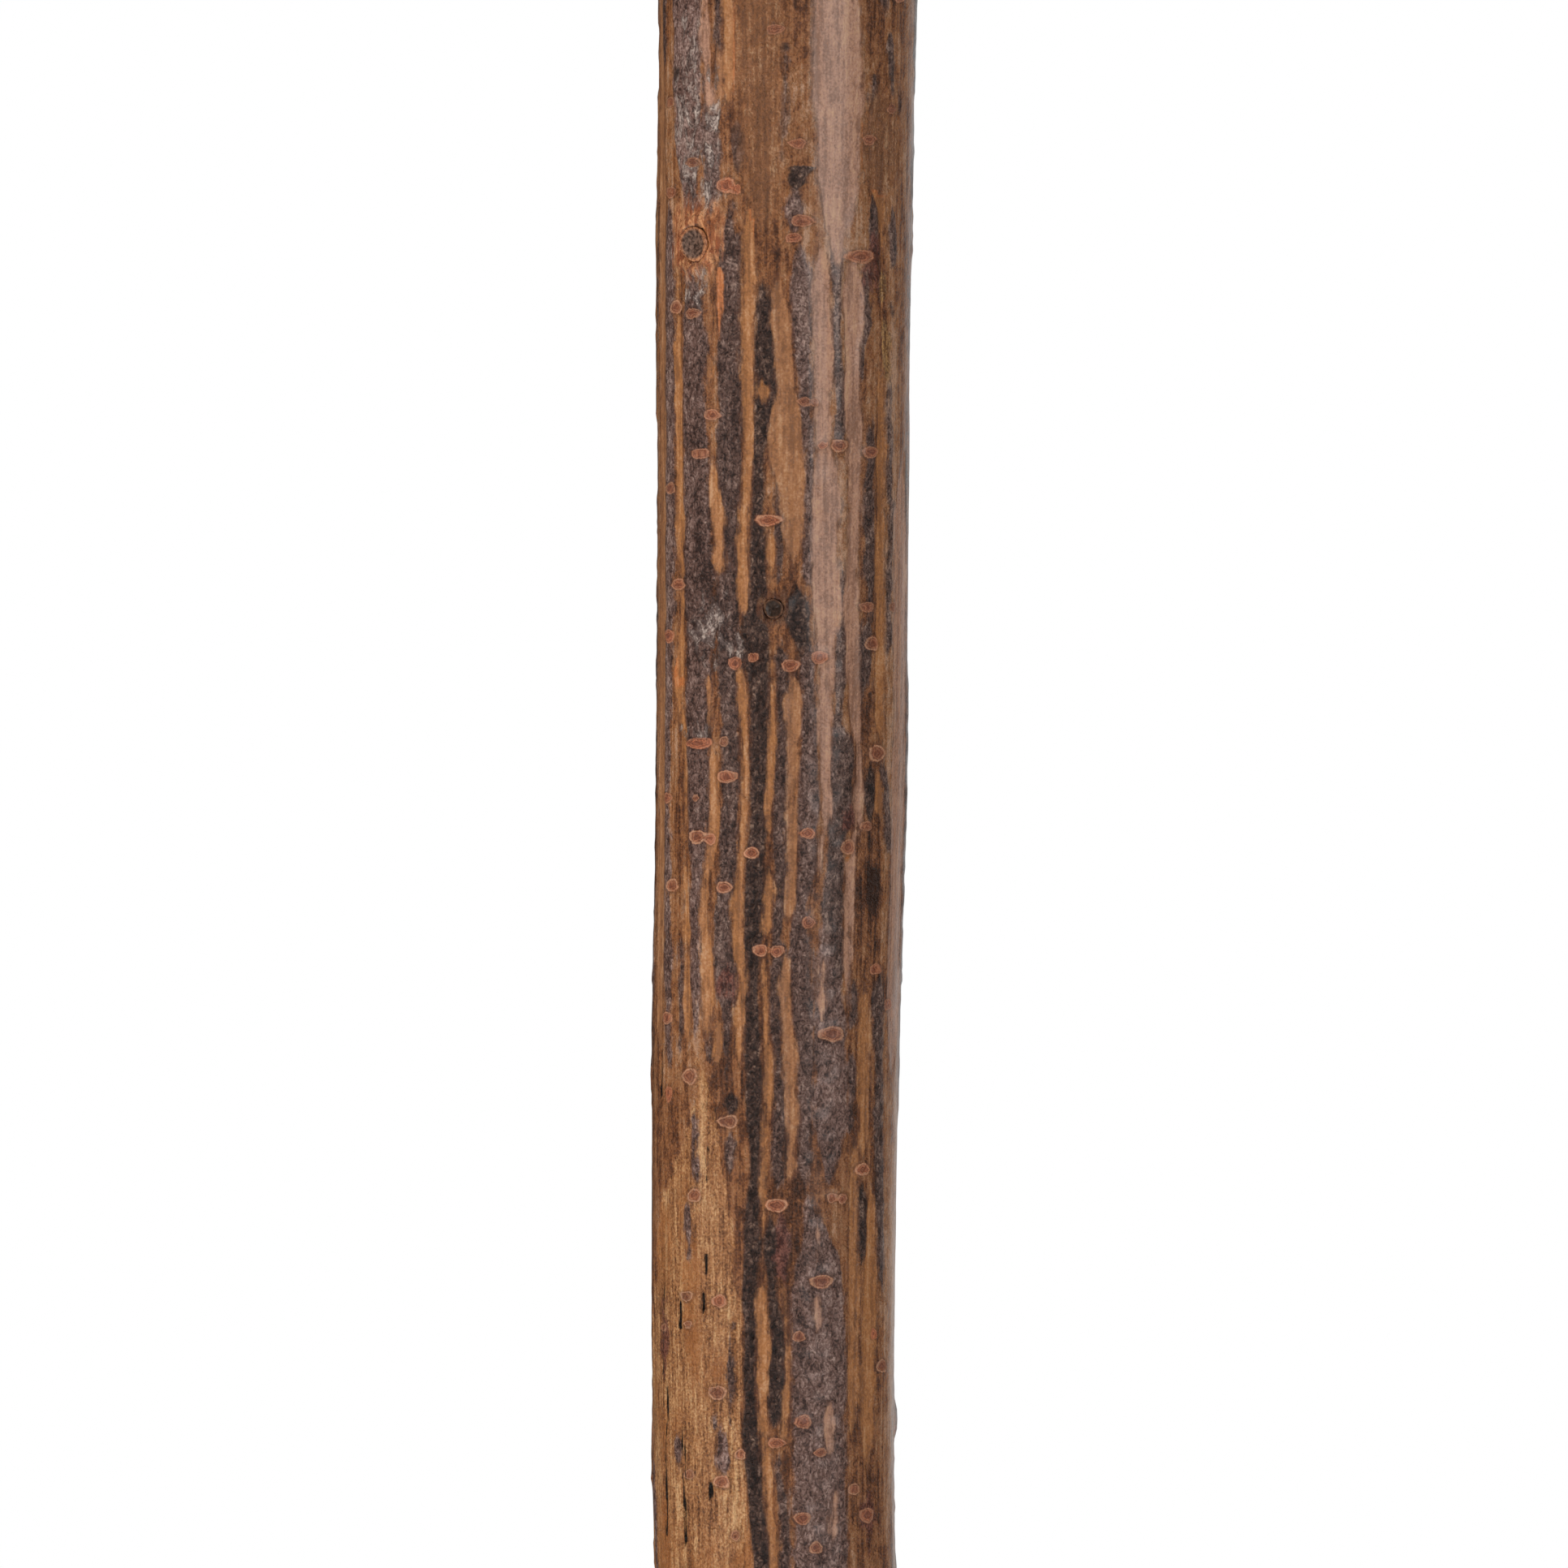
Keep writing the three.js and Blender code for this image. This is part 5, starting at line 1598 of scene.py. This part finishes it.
def sawn_wood(g, pore):
    """The sawn faces: growth rings round a dark pith, and a dark rim."""
    sawn = g.field("sawn")
    uneven = g.noise(4.0, 3.0)
    ring = 0.5 * g.math("SINE", 44.0 * sawn + 16.0 * uneven + 1.5 * pore) + 0.5
    ring = g.math("POWER", ring, 3.0)
    colour = g.mix(g.noise(1.2, 3.0), rgb(150, 104, 64), rgb(184, 138, 92))
    colour = g.mix(ring * g.span(uneven, 0.4, 0.6, 0.2, 0.7), colour, rgb(118, 76, 44))
    colour = g.mix(g.span(sawn, 0.0, 0.16, 0.8, 0.0), colour, rgb(64, 38, 24))
    colour = g.mix(g.span(sawn, 0.86, 1.06, 0.0, 0.8), colour, rgb(70, 42, 26))
    return g.mix(0.3 * g.span(pore, 0.5, 0.7), colour, rgb(90, 58, 36))


def weathered_ends(g, colour):
    """Dark crackled ends of the trimmed twigs, torn bright round an orange collar."""
    weathered = g.field("weathered")
    crackle = g.span(g.noise(0.34, 4.0, 0.65), 0.36, 0.7)
    old = g.mix(crackle, rgb(18, 12, 10), rgb(58, 40, 33))
    cracked = g.mix(crackle, rgb(40, 26, 23), rgb(128, 98, 82))
    old = g.mix(g.span(weathered, 0.7, 0.95), cracked, old)
    colour = g.mix(g.span(weathered, 0.0, 0.5, 0.0, 0.94), colour, old)
    torn = g.mix(crackle, rgb(150, 84, 48), rgb(214, 150, 100))
    return g.mix(g.field("collar") * g.span(crackle, 0.0, 0.4, 0.55, 1.0), colour, torn)


def wood_material():
    """Bare root wood along its grain, with hair roots, sawn faces and twig ends, lacquered."""
    g = Material("root_wood")
    lies = {0: g.field("grain_x"), 1: g.field("grain_y"), 2: g.field("grain_z")}
    fibre = g.output("ShaderNodeCombineXYZ", 0, lies)
    streak = g.noise(1.9, 4.0, 0.6, 0.4, along=0.06, place=fibre)
    line = g.noise(0.42, 3.0, 0.6, along=0.05, place=fibre)
    figure = g.noise(9.0, 3.0, 0.55, 0.8, along=0.16, place=fibre)
    pore = g.noise(0.22, 1.0, along=0.1, place=fibre)
    colour = g.ramp(
        0.42 * streak + 0.26 * line + 0.34 * figure,
        (0.38, rgb(84, 47, 24)), (0.46, rgb(128, 78, 40)), (0.52, rgb(158, 106, 60)),
        (0.6, rgb(184, 136, 86)), (0.7, rgb(204, 162, 112)),
    )
    colour = g.mix(g.span(g.noise(16.0), 0.45, 0.65, 0.0, 0.45), colour, rgb(120, 66, 34))
    colour = g.mix(0.5 * g.span(pore, 0.6, 0.72), colour, rgb(70, 40, 22))
    # Painted shade: the colour is darker in the root's hollows, where shade falls
    deep = g.span(g.field("hollow"), 0.02, 0.3)
    colour = g.mix(0.6 * deep, colour, rgb(58, 32, 18))
    colour = g.mix(0.85 * g.span(g.field("crease"), 0.25, 0.8), colour, rgb(40, 24, 16))
    pit = g.field("pit")
    colour = g.mix(0.5 * g.span(pit, 1.0, 1.6, 1.0, 0.0), colour, rgb(106, 60, 34))
    colour = g.mix(0.8 * g.span(pit, 0.5, 0.95, 1.0, 0.0), colour, rgb(52, 32, 24))
    colour = g.mix(g.field("on_cut"), colour, sawn_wood(g, pore))
    return g.finished({
        "Base Color": weathered_ends(g, colour), "Roughness": 0.24 + 0.2 * line + 0.2 * deep,
        "Coat Weight": 0.5, "Coat Roughness": 0.3,
    }, 0.5 * line + 0.25 * pore + 0.6 * streak, 0.12)


def rubber_material():
    """Matt black rubber, dusty near the ground."""
    g = Material("moulded_rubber")
    fine = g.noise(0.35, 3.0, 0.6)
    dust = g.span(0.7 * g.noise(6.0, 3.0, 0.6) + 0.3 * fine, 0.46, 0.62)
    above = g.output("ShaderNodeSeparateXYZ", "Z", {0: g.place})
    colour = g.mix(0.5 * dust, rgb(30, 29, 28), rgb(62, 58, 54))
    colour = g.mix(g.span(above, 0.0, 7.0, 1.0, 0.0) * dust * 0.6, colour, rgb(104, 94, 82))
    return g.finished({
        "Base Color": colour, "Roughness": 0.52 + 0.18 * dust + 0.1 * fine,
        "Specular IOR Level": 0.35,
    }, fine, 0.05)


def steel_material():
    """Zinc-plated steel with fine scratches."""
    g = Material("zinc_plated_steel")
    scratch = g.noise(0.2, across=(1, 0.06))
    colour = g.mix(g.noise(1.4), rgb(176, 178, 180), rgb(208, 206, 198))
    steel = {"Base Color": colour, "Roughness": 0.22 + 0.25 * scratch, "Metallic": 1.0}
    return g.finished(steel, scratch, 0.02)


def dress(piece, material, body, node):
    """Gives a piece its material and its body, and hides the CAD node that it stands for."""
    piece.data.materials.clear()
    piece.data.materials.append(material)
    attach(piece, body)
    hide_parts(node)


dress(make_bark(grow_bark()), bark_material(), "stick", "shaft_bark")
dress(make_wood(), wood_material(), "stick", "cane_wood")
dress(make_ferrule(), rubber_material(), "ferrule", "rubber_ferrule")

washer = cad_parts["ferrule_washer"]
steel = steel_material()
if not washer.material_slots:
    washer.data.materials.append(steel)
for slot in washer.material_slots:
    slot.material = steel


# Stage

def make_camera():
    """A level camera whose frame holds what the photograph's frame holds."""
    data = bpy.data.cameras.new("camera")
    data.sensor_width = SENSOR_WIDTH
    data.lens = CAMERA_DISTANCE * SENSOR_WIDTH / PHOTO_SPAN
    data.clip_end = 100.0
    camera = bpy.data.objects.new("camera", data)
    camera.location = (0, -CAMERA_DISTANCE * MM, PHOTO_HEIGHT * MM)
    camera.rotation_euler = (math.pi / 2, 0, 0)
    bpy.context.scene.collection.objects.link(camera)
    bpy.context.scene.camera = camera


def make_lamp(name, azimuth, distance, height, width, tall, watts, seen_in):
    """A soft upright lamp, turned towards the cane."""
    data = bpy.data.lights.new(name, "AREA")
    data.shape = "RECTANGLE"
    data.size = width
    data.size_y = tall
    data.energy = watts
    lamp = bpy.data.objects.new(name, data)
    turn = math.radians(azimuth)
    lamp.location = (distance * math.sin(turn), -distance * math.cos(turn), height)
    lamp.rotation_euler = (math.pi / 2, 0, turn)
    lamp.visible_camera = False
    lamp.visible_glossy = seen_in != "diffuse"
    lamp.visible_diffuse = seen_in != "gloss"
    bpy.context.scene.collection.objects.link(lamp)


def make_floor():
    """A pale round floor that fades out at its edge."""
    bpy.ops.mesh.primitive_circle_add(vertices=96, radius=FLOOR_RADIUS, fill_type="NGON")
    floor = bpy.context.object
    floor.name = "floor"
    g = Material("pale_floor")
    camera_ray = g.output("ShaderNodeLightPath", "Is Camera Ray", {})
    away = g.vector("LENGTH", g.place, output="Value")
    edge = FLOOR_RADIUS / MM
    floor.data.materials.append(g.finished({
        "Base Color": g.mix(g.noise(40.0, 3.0), rgb(236, 235, 233), rgb(242, 241, 240)),
        "Roughness": 0.7,
        "Emission Color": (1, 1, 1, 1),
        "Emission Strength": FLOOR_LIFT * camera_ray,
        "Alpha": g.span(away, 0.3 * edge, 0.98 * edge, 1.0, 0.0),
    }))


def make_world():
    """White behind, a plain level on the object, and a studio that is darker in front in its gloss."""
    world = bpy.data.worlds.new("studio")
    bpy.context.scene.world = world
    world.use_nodes = True
    g = Graph(world.node_tree)
    heading = g.output("ShaderNodeTexCoord", "Generated", {})
    toward = g.vector("DOT_PRODUCT", heading, BACKDROP_DIRECTION, "Value")
    gloss = g.span(toward, *BACKDROP_EDGES, *BACKDROP_LEVELS)
    strength = WORLD_LEVEL
    for ray, level in (("Is Glossy Ray", gloss), ("Is Transmission Ray", 1.0), ("Is Camera Ray", 1.0)):
        seen = g.output("ShaderNodeLightPath", ray, {})
        strength = g.output("ShaderNodeMix", 0, {0: seen, 2: strength, 3: level})
    background = world.node_tree.nodes["Background"]
    g.feed(background.inputs["Strength"], strength)
    g.feed(background.inputs["Color"], (1, 1, 1, 1))


make_camera()
make_floor()
make_world()
for lamp in LAMPS:
    make_lamp(*lamp)

bpy.context.scene.view_settings.view_transform = "Standard"
